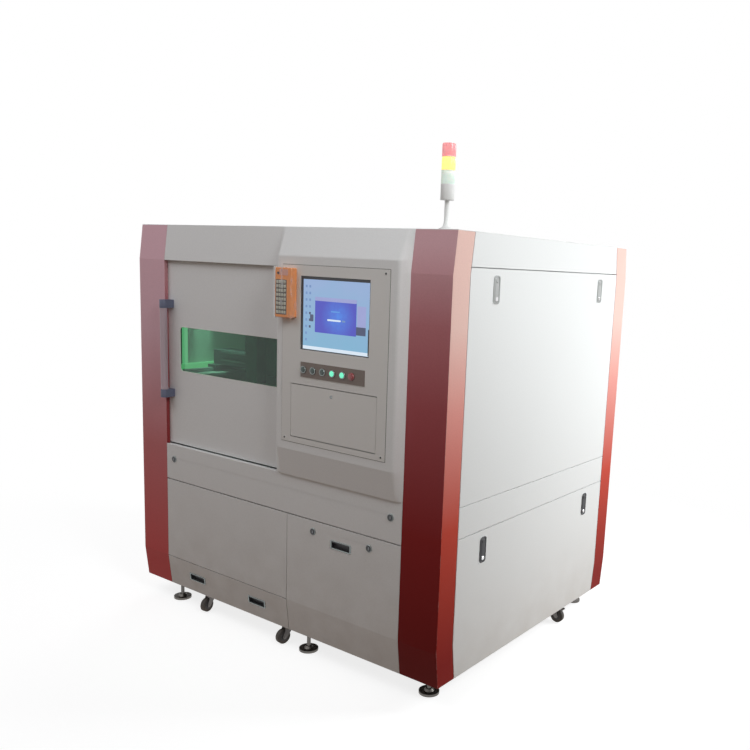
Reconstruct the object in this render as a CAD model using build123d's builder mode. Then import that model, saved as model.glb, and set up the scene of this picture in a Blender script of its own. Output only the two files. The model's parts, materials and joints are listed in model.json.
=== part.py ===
from build123d import *
import os
from math import cos, radians, sin

os.makedirs("parts", exist_ok=True)

# Laser cutting machine. Millimetres: X to the right, Y to the back, Z up from the floor.
# The origin lies on the floor, under the middle of the cabinet.

# Cabinet
body_w = 1744.0
body_d = 1396.0
body_h = 1650.0
floor_gap = 86.0
sheet = 2.0
seam = 3.0
fold = 20.0
skirt_h = 140.0
skirt_set = 18.0
crown_h = 152.0
crown_set = 18.5
fascia_fold = 12.0
tab_w = 30.0
tab_h = 15.0
tab_lift = 7.0
post_fold = 18.0
post_w = 180.0
post_d = 101.0
cover_gap = 22.0

# Front seams, counted down from the roof
upper_h = 975.0
band_h = 162.0
band_gap = 5.0
split_x = 95.0

# Side seams, counted from the front ones and from the roof
side_low_rise = 41.0
side_mid_drop = 5.0
side_header_h = 122.0
side_window_edge = 60.0

# Frame tubes
tube = 60.0
tube_wall = 3.0
weld_gap = 0.1
rail_tube = 40.0
rail_lap = 8.0
mid_tube_h = 30.0
drawer_rail_h = 26.0
gusset_w = 52.0
gusset_d = 40.0
gusset_t = 8.0
base_tube_h = 40.0
base_tube_w = 50.0
base_lift = 5.0

# Sliding door
door_recess = 20.0
door_fold = 26.0
door_overlap = 8.0
door_lap = 78.0
door_sill = 5.0
door_head = 22.0
door_guide_w = 130.0
door_guide_inset = 20.0
door_guide_lap = 20.0
hanger_inset = 120.0
hanger_l = 90.0
hanger_h = 18.0
hanger_neck_t = 5.0
track_w = 22.0
track_h = 30.0
track_inset = 15.0
track_end = 8.0
track_lip = 3.0
track_slot = 8.0
window_w = 642.0
window_h = 198.0
window_left = 87.0
window_low = 333.0
window_r = 18.0
window_lap = 12.0
glass_t = 5.0
handle_pitch = 398.0
handle_low = 230.0
handle_edge = 29.0
handle_r = 15.0
handle_out = 42.0
bracket_w = 34.0
bracket_h = 36.0

# Operator console
console_w = 660.0
console_out = 30.0
console_edge = 28.0
console_r = 20.0
console_toe = 112.0
console_toe_out = 8.0
console_brow = 111.0
console_crown_out = 6.0
plate_inset = 60.0
plate_w = 534.0
plate_h = 686.0
plate_head = 144.0
plate_lap = 16.0
screen_w = 348.0
screen_h = 278.0
screen_left = 97.5
screen_low = 369.0
monitor_t = 34.0
monitor_rim = 9.0
screen_bezel = (11.5, 3.5, 3.5, 11.0)
screen_sunk = 1.5
strip_w = 326.0
strip_h = 58.0
strip_left = 104.0
strip_low = 264.0
button_offsets = (16.0, 66.0, 116.0, 167.0, 218.0, 262.0)
button_r = 10.0
button_gap = 0.5
ring_w = 4.0
ring_h = 4.0
button_h = 6.0
button_stem = 26.0
barrel_l = 28.0
barrel_t = 2.0
flap_w = 440.0
flap_h = 212.0
flap_left = 50.0
flap_low = 22.0
flap_gap = 1.5
flap_head_gap = 3.0
flap_sill = 3.0
flap_fold = 10.0
hinge_r = 3.0
hinge_pin_r = 2.5
hinge_ear = 6.0
keyboard_w = 400.0
keyboard_h = 150.0
keyboard_t = 18.0
keyboard_base_t = 12.0
key_pitch = 25.0
key_w = 21.0
key_columns = 15
key_rows = 5

# Hand-held keypad
keypad_w = 88.0
keypad_h = 188.0
keypad_t = 28.0
keypad_left = 47.0
keypad_low = 486.0
keypad_r = 6.0
keypad_edge = 3.0

# Flush pulls, locks and latches
pull_w = 108.0
pull_h = 34.0
pull_rim = 6.0
pull_lip = 1.5
pull_depth = 15.0
pull_offsets = (202.0, 598.0)
pull_drop = 68.0
service_pull_offset = 298.0
service_pull_drop = 72.0
lock_head_r = 14.0
lock_head_h = 3.0
lock_stem_r = 9.0
lock_gap = 0.5
cam_l = 32.0
cam_w = 16.0
cam_t = 3.0
keeper_t = 2.0
keeper_gap = 1.0
keeper_clear = 5.0
band_lock_inset = 54.0
band_lock_drop = 67.0
service_lock_offsets = (148.0, 443.0)
service_lock_drop = 43.0
latch_w = 42.0
latch_h = 102.0
latch_edge = 169.0
latch_rim = 5.0
latch_depth = 16.0
latch_gap = 1.0
latch_pin_r = 2.0
lever_t = 8.0
lever_head = 10.0
upper_latch_drop = 76.0
lower_latch_drop = 79.0

# Slag drawer
drawer_side = 42.0
drawer_side_gap = 30.0
drawer_floor = 49.0
drawer_top = 132.0
drawer_l = 900.0
drawer_face = 30.0
runner_t = 3.7
runner_w = 42.0
runner_beam_w = 40.0
runner_beam_lap = 24.0
bay_beam_inset = 18.0

# Cutting chamber and motion system
chamber_inset = 130.0
chamber_front = 56.0
chamber_drop = 15.0
liner_gap = 0.2
bed_margin = 50.0
bearer_w = 38.0
bearer_h = 40.0
bed_side = 60.0
bed_h = 100.0
bed_front = 98.0
bed_back = 128.0
rail_web_t = 12.0
rail_flange_w = 150.0
rail_flange_t = 12.0
rail_rise = 325.0
rail_w = 20.0
rail_h = 18.0
slat_t = 3.0
slat_h = 80.0
slat_count = 13
slat_end_gap = 4.0
tooth_pitch = 40.0
tooth_h = 14.0
slide_gap = 0.3
truck_lift = 4.0
gantry_wall = 6.0
carriage_gap = 1.0
collimator_r = 20.0
collimator_h = 60.0
gantry_offset = 250.0
gantry_d = 90.0
gantry_h = 70.0
truck_l = 160.0
truck_w = 56.0
truck_h = 12.0
head_inset = 344.0
head_w = 210.0
head_t = 60.0
head_rise = 25.0
head_h = 240.0
head_rail_w = 24.0
head_rail_inset = 16.0
head_rail_t = 8.0
cutter_w = 64.0
cutter_d = 52.0
cutter_drop = 35.0
cutter_h = 240.0
nozzle_r = 9.0
nozzle_h = 87.0

# Slag hopper
hopper_t = 1.5
hopper_low = 140.0
hopper_lap = 25.0
hopper_mouth_edge = 20.0
hopper_mouth_end = 17.0

# Equipment bay
bay_gap = 40.0
bay_side = 8.0
source_h = 150.0
source_d = 640.0
cabinet_w = 355.0
cabinet_head = 260.0
cabinet_d = 420.0
source_lap = 10.0
case_edge = 4.0

# Rear
spigot_r = 75.0
spigot_t = 2.0
spigot_l = 60.0
spigot_inset = 577.0
spigot_drop = 250.0
louvre_w = 260.0
louvre_x = 400.0
louvre_low = 250.0
louvre_h = 8.0
louvre_count = 9
louvre_pitch = 24.0

# Signal tower
tower_inset = 112.0
tower_y = 100.0
tower_pole_r = 8.0
tower_pole_h = 102.0
tower_flange_r = 25.0
tower_flange_h = 6.0
tower_r = 24.0
tower_base_h = 54.0
tier_h = 45.0
tower_tiers = 3

# Feet and casters
foot_r = 40.0
foot_h = 10.0
stud_r = 8.0
nut_r = 14.0
nut_h = 12.0
foot_left_inset = 195.0
foot_mid_offset = 70.0
foot_right_inset = 104.0
foot_front_inset = 65.0
foot_corner_inset = 108.0
caster_left_offset = 227.0
caster_mid_offset = 50.0
caster_front_inset = 65.0
caster_front_turn = (-82.0, -98.0)
caster_side_inset = 66.0
caster_rear_inset = 387.0
wheel_r = 31.0
wheel_w = 20.0
wheel_clear = 2.0
caster_trail = 30.0
axle_r = 5.0
running_fit = 0.05
king_r = 6.0
cheek_t = 3.0
cheek_gap = 2.0
cheek_reach = 18.0
caster_plate_t = 5.0
caster_plate_w = 52.0
fork_disc_r = 24.0
fork_disc_t = 7.0
pedal_t = 6.0
pedal_end = 60.0

# Derived places
front = -1
rear = 1
half_w = body_w / 2
half_d = body_d / 2
y_front = -half_d
z_base = floor_gap
z_top = z_base + body_h
z_cover = z_top - sheet
z_skirt = z_base + skirt_h
z_crown = z_top - crown_h
inner_x = half_w - post_w
frame_x = half_w - cover_gap
band_top = body_h - upper_h
band_low = band_top - band_h
lower_top = band_low - band_gap
side_low_top = lower_top + side_low_rise
side_mid_top = band_top - side_mid_drop
door_low = band_top + door_sill
chamber_low = band_top - chamber_drop
rail_top = chamber_low + rail_rise
head_low = rail_top + head_rise
head_high = head_low + head_h
cutter_low = head_low - cutter_drop
cutter_high = cutter_low + cutter_h
cabinet_h = chamber_low - cabinet_head
gantry_y = y_front + bed_front + gantry_offset
side_header = body_h - side_header_h
plate_low = body_h - plate_head - plate_h
console_left = inner_x - console_w
plate_left = console_left + plate_inset
band_lock_x = inner_x - band_lock_inset
band_lock_z = band_top - band_lock_drop
service_lock_x = [split_x + offset for offset in service_lock_offsets]
service_lock_z = lower_top - service_lock_drop
service_pull_x = split_x + service_pull_offset
service_pull_z = lower_top - service_pull_drop
pull_x = [offset - inner_x for offset in pull_offsets]
pull_z = skirt_h - pull_drop
side_edge = half_d - post_d - seam
latch_y = side_edge - latch_edge
upper_latch_z = side_header - upper_latch_drop
lower_latch_z = side_low_top - lower_latch_drop
drawer_left = drawer_side - inner_x
drawer_right = split_x - drawer_side_gap
chamber_left = tube - frame_x
chamber_right = inner_x - chamber_inset
head_x = chamber_left + bed_margin + bed_side + head_inset
bay_left = drawer_right + bay_gap
bay_right = inner_x + bay_side
cabinet_left = bay_right - cabinet_w
spigot_x = spigot_inset - inner_x
spigot_z = body_h - spigot_drop
tower_x = half_w - tower_inset
foot_x = (foot_left_inset - half_w, split_x + foot_mid_offset, half_w - foot_right_inset)
foot_inset = (foot_front_inset, foot_front_inset, foot_corner_inset)
caster_front_x = (caster_left_offset - inner_x, split_x - caster_mid_offset)
caster_rear_x = half_w - caster_side_inset
caster_rear_y = half_d - caster_rear_inset
door_left = -inner_x - door_overlap
door_w = console_left + door_lap - door_left
z_plate = z_base + plate_low
face_y = y_front - console_out
plate_y = face_y - sheet
z_rail = z_base + rail_top + rail_h
z_slat = z_base + chamber_low + bed_h


def span(a, b):
    """Two coordinates in rising order."""
    return (min(a, b), max(a, b))


def block(x, y, z, mode=Mode.ADD):
    """A box between two coordinates on each axis."""
    with Locations(((x[0] + x[1]) / 2, (y[0] + y[1]) / 2, (z[0] + z[1]) / 2)):
        Box(x[1] - x[0], y[1] - y[0], z[1] - z[0], mode=mode)


def hollow_tube(x, y, z, along):
    """A rectangular tube, open at both ends, that stops a weld gap short of its neighbours."""
    sides = (x, y, z)
    start = sides[along][0] + weld_gap
    length = sides[along][1] - weld_gap - start
    plane = (Plane.YZ, Plane.ZX, Plane.XY)[along].offset(start)
    across = ((1, 2), (2, 0), (0, 1))[along]
    centre = tuple((sides[axis][0] + sides[axis][1]) / 2 for axis in across)
    size = [sides[axis][1] - sides[axis][0] for axis in across]
    with BuildSketch(plane) as section:
        with Locations(centre):
            Rectangle(*size)
            Rectangle(size[0] - 2 * tube_wall, size[1] - 2 * tube_wall, mode=Mode.SUBTRACT)
    return extrude(section.sketch, amount=length, mode=Mode.PRIVATE)


def bar(x, y, z):
    """A solid bar between two coordinates on each axis, not yet joined to anything."""
    middle = Pos((x[0] + x[1]) / 2, (y[0] + y[1]) / 2, (z[0] + z[1]) / 2)
    return middle * Box(x[1] - x[0], y[1] - y[0], z[1] - z[0], mode=Mode.PRIVATE)


def setback(z):
    """How far the cabinet's outline stands back at height z: nothing between its two bends."""
    if z < z_skirt:
        return skirt_set * (z_skirt - z) / skirt_h
    if z > z_crown:
        return crown_set * (z - z_crown) / crown_h
    return 0.0


def bend_heights(z):
    """The heights at which an outline between two heights has a corner."""
    return [z[0]] + [bend for bend in (z_skirt, z_crown) if z[0] < bend < z[1]] + [z[1]]


def bent_band(x, z, near, far, side=front, mode=Mode.ADD):
    """A bar along X between two depths behind the cabinet's bent front or rear outline."""
    heights = bend_heights(z)
    outer = [(side * (half_d - setback(h) - near), h) for h in heights]
    inner = [(side * (half_d - setback(h) - far), h) for h in reversed(heights)]
    with BuildSketch(Plane.YZ.offset(x[0])) as outline:
        with BuildLine():
            Polyline(*outer, *inner, close=True)
        make_face()
    extrude(outline.sketch, amount=x[1] - x[0], mode=mode)


def bent_tray(x, z, depth=fold, side=front):
    """A folded cover: one sheet with all four edges turned in, open at the back."""
    bent_band(x, z, 0, depth, side)
    inside_x = (x[0] + sheet, x[1] - sheet)
    inside_z = (z[0] + sheet, z[1] - sheet)
    bent_band(inside_x, inside_z, sheet, depth + 1, side, Mode.SUBTRACT)


def side_outline(z, margin, x, amount, mode=Mode.ADD):
    """A slab across the side between the posts, whose ends follow their leaning edges."""
    heights = bend_heights(z)
    edge = side_edge - margin
    ahead = [(-(edge - setback(h)), h) for h in heights]
    behind = [(edge - setback(h), h) for h in reversed(heights)]
    with BuildSketch(Plane.YZ.offset(x)) as outline:
        with BuildLine():
            Polyline(*ahead, *behind, close=True)
        make_face()
    extrude(outline.sketch, amount=amount, mode=mode)


def side_tray(hand, z, depth):
    """A folded side cover on the left (-1) or the right (1)."""
    side_outline(z, 0, hand * half_w, -hand * depth)
    inside_z = (z[0] + sheet, z[1] - sheet)
    side_outline(inside_z, sheet, hand * (half_w - sheet), -hand * depth, Mode.SUBTRACT)


def facing_front(x, z, out=0.0):
    """A plane on the front at a place of the cabinet, facing outwards, with its Y upwards."""
    return Plane(origin=(x, y_front - out, z), x_dir=(1, 0, 0), z_dir=(0, -1, 0))


def facing_side(y, z):
    """A plane on the right side, facing outwards, with its X to the back."""
    return Plane(origin=(half_w, y, z), x_dir=(0, 1, 0), z_dir=(1, 0, 0))


def flush_pull(face):
    """A sunk finger pull: a rim on the sheet and a cup behind it."""
    low = (Align.CENTER, Align.CENTER, Align.MIN)
    high = (Align.CENTER, Align.CENTER, Align.MAX)
    inner_w = pull_w - 2 * pull_rim
    inner_h = pull_h - pull_rim
    with Locations(face):
        Box(pull_w, pull_h, pull_lip, align=low)
        Box(inner_w + 2 * sheet, inner_h + 2 * sheet, pull_depth + sheet, align=high)
    with Locations(face.offset(-pull_depth)):
        Box(inner_w, inner_h, pull_depth + pull_lip + 1, align=low, mode=Mode.SUBTRACT)


def lock_hole(face):
    """The round hole that a quarter-turn lock's stem goes through."""
    with Locations(face):
        Cylinder(lock_stem_r + lock_gap, 4 * sheet, mode=Mode.SUBTRACT)


def keeper(x, z, hand, z_hang):
    """The plate beside a lock, hung from a rail, behind which the turned cam lies."""
    inner = x + hand * (cam_w / 2 + keeper_clear)
    outer = x + hand * (cam_l + keeper_clear)
    return bar(span(inner, outer), (y_front + fold, y_front + fold + keeper_t), (z - cam_w, z_hang))


def moved_in(pair, margin):
    """A pair of coordinates drawn in by a margin at both ends."""
    return (pair[0] + margin, pair[1] - margin)


def about(middle, width):
    """Two coordinates half a width each side of a middle."""
    return (middle - width / 2, middle + width / 2)


def write(piece, label):
    """Labels one finished piece and writes it."""
    piece.part.label = label
    export_step(piece.part, "parts/" + label + ".step")


# Welded frame: uprights, rings, rails, door track, drawer runners, keepers and caster plates
upright_y = ((y_front + tube, y_front + 2 * tube), (-y_front - 2 * tube, -y_front - tube))
ring_x = (-frame_x + tube, frame_x - tube)
ring_y = (y_front + 2 * tube, -y_front - 2 * tube)
z_frame = z_base + base_lift
z_floor_beam = z_frame + base_tube_h
front_beam_y = (y_front + 2 * fold, y_front + 2 * fold + base_tube_w)
rear_beam_y = (-front_beam_y[1], -front_beam_y[0])
beam_y = (front_beam_y[1], rear_beam_y[0])
rail_x = (-frame_x, frame_x)
rail_y = (y_front + fold, y_front + tube - weld_gap)
z_mid = (z_base + chamber_low - mid_tube_h, z_base + chamber_low)
z_mid_side = (z_mid[1] - tube, z_mid[1])
z_ring = (z_cover - tube, z_cover)
z_lower_rail = (z_base + lower_top - rail_lap, z_base + lower_top - rail_lap + rail_tube)
z_drawer_rail = (z_skirt + sheet, z_skirt + sheet + drawer_rail_h)
mullion_x = about(split_x, rail_tube)
track_y = about(y_front + door_recess + track_inset, track_w)
track_mid = (track_y[0] + track_y[1]) / 2
track_z = (z_ring[0] - track_h, z_ring[0] - weld_gap)
track_x = (track_end - inner_x, ring_x[1] - track_end)
runner_x = [(x - runner_w / 2, x + runner_w / 2) for x in (drawer_left, drawer_right)]
z_runner = (z_floor_beam + weld_gap, z_floor_beam + runner_t)
beam_starts = [runner_x[0][0] - runner_beam_lap, runner_x[1][1] - runner_beam_lap / 2]
beam_starts += [cabinet_left + bay_beam_inset, bay_right - bay_beam_inset - runner_beam_w]
caster_front_y = y_front + caster_front_inset
caster_places = [(x, caster_front_y, turn) for x, turn in zip(caster_front_x, caster_front_turn)]
caster_places += [(caster_rear_x, caster_rear_y, 0.0), (-caster_rear_x, caster_rear_y, 180.0)]
foot_places = [(x, side * (half_d - inset)) for x, inset in zip(foot_x, foot_inset) for side in (front, rear)]

frame_bars = []
for hand in (-1, 1):
    column_x = span(hand * frame_x, hand * (frame_x - tube))
    frame_bars += [hollow_tube(column_x, y, (z_frame, z_cover), 2) for y in upright_y]
    frame_bars += [hollow_tube(column_x, ring_y, z, 1) for z in ((z_frame, z_floor_beam), z_mid_side, z_ring)]
    frame_bars += [keeper(hand * band_lock_x, z_base + band_lock_z, hand, z_mid[0] - weld_gap)]
for y in (front_beam_y, rear_beam_y):
    frame_bars += [hollow_tube(ring_x, y, (z_frame, z_floor_beam), 0)]
frame_bars += [hollow_tube(ring_x, (y_front + fold, y_front + fold + tube), z_mid, 0)]
frame_bars += [hollow_tube(ring_x, upright_y[1], z_mid_side, 0)]
frame_bars += [hollow_tube(ring_x, (y_front + 2 * fold, y_front + 2 * fold + tube), z_ring, 0)]
frame_bars += [hollow_tube(ring_x, upright_y[1], z_ring, 0)]
frame_bars += [hollow_tube(rail_x, rail_y, z_lower_rail, 0)]
frame_bars += [hollow_tube(rail_x, (-rail_y[1], -rail_y[0]), z_lower_rail, 0)]
frame_bars += [hollow_tube(mullion_x, rail_y, (z_drawer_rail[0], z_lower_rail[0]), 2)]
frame_bars += [hollow_tube((-frame_x, mullion_x[0]), rail_y, z_drawer_rail, 0)]
for x in beam_starts:
    frame_bars += [hollow_tube((x, x + runner_beam_w), beam_y, (z_frame, z_floor_beam), 1)]
frame_bars += [bar(x, moved_in(beam_y, 1), z_runner) for x in runner_x]
bearer_y = (ring_y[0] + weld_gap, ring_y[0] + bearer_w)
for y in (bearer_y, (-bearer_y[1], -bearer_y[0])):
    frame_bars += [hollow_tube(ring_x, y, (z_mid[1] - bearer_h, z_mid[1]), 0)]
door_back = y_front + door_recess + door_fold
guide_x = (door_left + door_w - door_guide_inset - door_guide_w, door_left + door_w - door_guide_inset)
guide_z = (z_mid[1] + weld_gap, z_base + door_low + door_guide_lap)
frame_bars += [bar(guide_x, (door_back + slide_gap, door_back + slide_gap + 2 * sheet), guide_z)]
for x, hand in zip(service_lock_x, (-1, 1)):
    frame_bars += [keeper(x, z_base + service_lock_z, hand, z_lower_rail[0] - weld_gap)]
for hand in (-1, 1):
    for side in (front, rear):
        gusset_x = span(hand * (ring_x[1] - weld_gap), hand * (ring_x[1] - gusset_w))
        gusset_y = span(side * (rear_beam_y[0] - weld_gap), side * (rear_beam_y[0] - gusset_d))
        frame_bars += [bar(gusset_x, gusset_y, (z_frame, z_frame + gusset_t))]
z_caster = z_frame - caster_plate_t

with BuildPart() as door_track:
    block(track_x, track_y, track_z)
    block(track_x, moved_in(track_y, track_lip), moved_in(track_z, track_lip), Mode.SUBTRACT)
    block(track_x, about(track_mid, track_slot), (track_z[0], track_z[0] + track_lip), Mode.SUBTRACT)
with BuildPart() as caster_plates:
    for x, y, turn in caster_places:
        block(about(x, caster_plate_w), about(y, caster_plate_w), (z_caster, z_frame - weld_gap))
        with Locations((x, y, z_caster)):
            Cylinder(king_r + running_fit, 3 * caster_plate_t, mode=Mode.SUBTRACT)
with BuildPart() as machine_frame:
    add(frame_bars + [door_track.part, caster_plates.part])
write(machine_frame, "machine_frame")


# Folded corner posts
def corner_post(hand, side):
    """A post: front face, side face, the return beside the door and the one on the upright."""
    outer = hand * half_w
    inner = hand * inner_x
    full = (z_base, z_cover)
    bent_band(span(outer, inner), full, 0, sheet, side)
    bent_band(span(outer, outer - hand * sheet), full, 0, post_d, side)
    bent_band(span(inner, inner + hand * sheet), (z_base, z_crown), 0, post_fold, side)
    bent_band(span(outer, outer - hand * cover_gap), full, post_d - sheet, post_d, side)


with BuildPart() as front_left_post:
    corner_post(-1, front)
write(front_left_post, "front_left_post")
with BuildPart() as front_right_post:
    corner_post(1, front)
write(front_right_post, "front_right_post")
with BuildPart() as rear_posts:
    corner_post(-1, rear)
    corner_post(1, rear)
write(rear_posts, "rear_posts")

# Front fascia, held to the upper beam by four tabs
front_x = moved_in((-inner_x, inner_x), 1)
z_tab = (z_ring[0] + tab_lift, z_ring[0] + tab_lift + tab_h)
with BuildPart() as front_fascia:
    bent_tray(front_x, (z_crown, z_cover), fascia_fold)
    for share in (-0.87, -0.29, 0.29, 0.87):
        block(about(share * inner_x, tab_w), (y_front + setback(z_tab[1]) + 1, y_front + 2 * fold), z_tab)
write(front_fascia, "front_fascia")

# Roof sheet
with BuildPart() as roof_panel:
    block((-half_w, half_w), moved_in((y_front, half_d), crown_set), (z_cover, z_top))
write(roof_panel, "roof_panel")

# Side covers
z_side_low = (z_base, z_base + side_low_top - seam / 2)
z_side_mid = (z_base + side_low_top + seam / 2, z_base + side_mid_top - seam / 2)
z_side_up = (z_base + side_mid_top + seam / 2, z_base + side_header - seam / 2)
z_side_head = (z_base + side_header + seam / 2, z_cover)
with BuildPart() as left_side_panels:
    for z in (z_side_low, z_side_mid, z_side_up, z_side_head):
        side_tray(-1, z, cover_gap)
write(left_side_panels, "left_side_panels")

with BuildPart() as right_side_frame:
    side_outline((z_base, z_cover), 0, frame_x, sheet)
    opening_x = (frame_x - sheet, frame_x + 2 * sheet)
    opening_y = about(0, 2 * (side_edge - side_window_edge))
    for z in (z_side_up, z_side_low):
        block(opening_x, opening_y, moved_in(z, side_window_edge), Mode.SUBTRACT)
    side_tray(1, z_side_mid, fold)
    side_tray(1, z_side_head, fold)
write(right_side_frame, "right_side_frame")


def latch_cup(face):
    """A sunk latch body: a rim on the sheet, a cup behind it and the holes of the lever's pin."""
    low = (Align.CENTER, Align.CENTER, Align.MIN)
    high = (Align.CENTER, Align.CENTER, Align.MAX)
    inner_w = latch_w - 2 * latch_rim
    inner_h = latch_h - 2 * latch_rim
    with Locations(face):
        Box(latch_w, latch_h, pull_lip, align=low)
        Box(inner_w + 2 * sheet, inner_h + 2 * sheet, latch_depth + sheet, align=high)
    with Locations(face.offset(-latch_depth)):
        Box(inner_w, inner_h, latch_depth + pull_lip + 1, align=low, mode=Mode.SUBTRACT)
    with Locations(latch_pivot(face)):
        Cylinder(latch_pin_r + running_fit, inner_w + 4 * sheet, mode=Mode.SUBTRACT)


def latch_pivot(face):
    """The plane across a latch lever's pin, with the pin along its normal."""
    lift = latch_h / 2 - latch_rim - latch_gap - lever_head
    centre = face.from_local_coords((0, lift, -lever_t / 2))
    return Plane(origin=centre, x_dir=face.z_dir, z_dir=face.x_dir)


def latch_lever(face):
    """A flat lever in its cup, on a pin near its upper end."""
    high = (Align.CENTER, Align.CENTER, Align.MAX)
    inner_w = latch_w - 2 * latch_rim
    inner_h = latch_h - 2 * latch_rim
    with Locations(face):
        Box(inner_w - 2 * latch_gap, inner_h - 2 * latch_gap, lever_t, align=high)
    with Locations(latch_pivot(face)):
        Cylinder(latch_pin_r, inner_w + 1.5 * sheet)


upper_latches = [facing_side(side * latch_y, z_base + upper_latch_z) for side in (front, rear)]
lower_latches = [facing_side(side * latch_y, z_base + lower_latch_z) for side in (front, rear)]

with BuildPart() as right_upper_panel:
    side_tray(1, z_side_up, fold)
    for face in upper_latches:
        latch_cup(face)
write(right_upper_panel, "right_upper_panel")
with BuildPart() as right_lower_panel:
    side_tray(1, z_side_low, fold)
    for face in lower_latches:
        latch_cup(face)
write(right_lower_panel, "right_lower_panel")
lever_names = ("upper_front_latch", "upper_rear_latch", "lower_front_latch", "lower_rear_latch")
for face, name in zip(upper_latches + lower_latches, lever_names):
    with BuildPart() as lever:
        latch_lever(face)
    write(lever, name)

# Rear cover with its louvres and the exhaust spigot that reaches the chamber's back wall
chamber_y = (y_front + chamber_front, upright_y[1][0])
z_spigot = z_base + spigot_z
louvre_z = [z_base + louvre_low + louvre_pitch * row for row in range(louvre_count)]
rear_face = Plane(origin=(spigot_x, chamber_y[1], z_spigot), x_dir=(1, 0, 0), z_dir=(0, 1, 0))
spigot_run = half_d + spigot_l - chamber_y[1] - weld_gap
from_face = (Align.CENTER, Align.CENTER, Align.MIN)
with BuildPart() as rear_panel:
    bent_tray(front_x, (z_base, z_cover), fold, rear)
    for x in (-louvre_x, louvre_x):
        for z in louvre_z:
            block(about(x, louvre_w), (half_d - fold, half_d + 1), about(z, louvre_h), Mode.SUBTRACT)
    with Locations(rear_face.offset(weld_gap)):
        Cylinder(spigot_r, spigot_run, align=from_face)
        Cylinder(spigot_r - spigot_t, spigot_run, align=from_face, mode=Mode.SUBTRACT)
write(rear_panel, "rear_panel")

# Lower front covers
left_cover_x = (front_x[0], split_x - seam / 2)
right_cover_x = (split_x + seam / 2, front_x[1])
with BuildPart() as lower_left_panel:
    bent_tray(left_cover_x, (z_skirt + seam / 2, z_base + lower_top))
write(lower_left_panel, "lower_left_panel")
with BuildPart() as service_panel:
    bent_tray(right_cover_x, (z_base, z_base + lower_top))
    flush_pull(facing_front(service_pull_x, z_base + service_pull_z))
    for x in service_lock_x:
        lock_hole(facing_front(x, z_base + service_lock_z))
write(service_panel, "service_panel")
with BuildPart() as band_panel:
    bent_tray(front_x, (z_base + band_low, z_base + band_top - 1))
    for hand in (-1, 1):
        lock_hole(facing_front(hand * band_lock_x, z_base + band_lock_z))
write(band_panel, "band_panel")

# Quarter-turn locks, modelled open: head on the sheet, stem through it and cam behind the fold
lock_run = fold + keeper_t + keeper_gap + cam_t
lock_places = [(-band_lock_x, band_lock_z), (band_lock_x, band_lock_z)]
lock_places += [(x, service_lock_z) for x in service_lock_x]
lock_names = ("band_left_lock", "band_right_lock", "service_left_lock", "service_right_lock")
for (x, height), name in zip(lock_places, lock_names):
    z = z_base + height
    with BuildPart() as lock:
        with Locations(facing_front(x, z)):
            Cylinder(lock_head_r, lock_head_h, align=(Align.CENTER, Align.CENTER, Align.MIN))
            Cylinder(lock_stem_r, lock_run, align=(Align.CENTER, Align.CENTER, Align.MAX))
        cam_y = (y_front + lock_run - cam_t, y_front + lock_run)
        block(about(x, cam_w), cam_y, (z - cam_l, z))
        chamfer(lock.faces().sort_by(Axis.Y)[0].edges(), 1)
    write(lock, name)

# Slag drawer: a low tray on two runners behind the leaning skirt
z_pull = z_base + pull_z
z_tray = (z_base + drawer_floor, z_base + drawer_top)
tray_x = (drawer_left, drawer_right)
tray_y = (y_front + drawer_face, y_front + drawer_face + drawer_l)
with BuildPart() as waste_drawer:
    bent_tray(left_cover_x, (z_base, z_skirt - seam / 2))
    block(tray_x, tray_y, z_tray)
    block(moved_in(tray_x, sheet), moved_in(tray_y, sheet), (z_tray[0] + sheet, z_tray[1] + 1), Mode.SUBTRACT)
    for x in (drawer_left, drawer_right - 2 * sheet):
        bent_band((x, x + 2 * sheet), (z_tray[0], z_tray[1]), 1, drawer_face)
    for x in pull_x:
        centre = (x, y_front + setback(z_pull), z_pull)
        flush_pull(Plane(origin=centre, x_dir=(1, 0, 0), z_dir=(0, -skirt_h, -skirt_set)))
write(waste_drawer, "waste_drawer")

# Sliding door with its window, its handle and its two hangers in the track
door_x = (door_left, door_left + door_w)
door_y = y_front + door_recess
z_door = (z_base + door_low, z_crown + door_head)
window_x = (door_left + window_left, door_left + window_left + window_w)
window_z = (z_door[0] + window_low, z_door[0] + window_low + window_h)
window_mid = ((window_x[0] + window_x[1]) / 2, (window_z[0] + window_z[1]) / 2)


def rounded_slab(middle, width, height, radius, y, depth, mode=Mode.ADD):
    """A slab facing the front, with round corners, from y backwards."""
    with BuildSketch(Plane(origin=(0, y, 0), x_dir=(1, 0, 0), z_dir=(0, -1, 0))) as outline:
        with Locations(middle):
            RectangleRounded(width, height, radius)
    extrude(outline.sketch, amount=-depth, mode=mode)


with BuildPart() as door_panel:
    block(door_x, (door_y, door_back), z_door)
    block(moved_in(door_x, sheet), (door_y + sheet, door_back + 1), moved_in(z_door, sheet), Mode.SUBTRACT)
    rounded_slab(window_mid, window_w, window_h, window_r, door_y - 1, 2 * sheet, Mode.SUBTRACT)
    for x in (door_x[0] + hanger_inset, door_x[1] - hanger_inset):
        hanger_z = (track_z[0] + track_lip + slide_gap, track_z[0] + track_lip + slide_gap + hanger_h)
        hanger_y = moved_in(track_y, track_lip + slide_gap)
        block(about(x, hanger_l), hanger_y, hanger_z)
        block(about(x, hanger_l / 2), about(track_mid, hanger_neck_t), (z_door[1] - sheet, hanger_z[0] + 1))
write(door_panel, "door_panel")

with BuildPart() as door_window:
    pane = (window_w + 2 * window_lap, window_h + 2 * window_lap)
    rounded_slab(window_mid, *pane, window_r + window_lap, door_y + sheet, glass_t)
write(door_window, "door_window")

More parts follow.
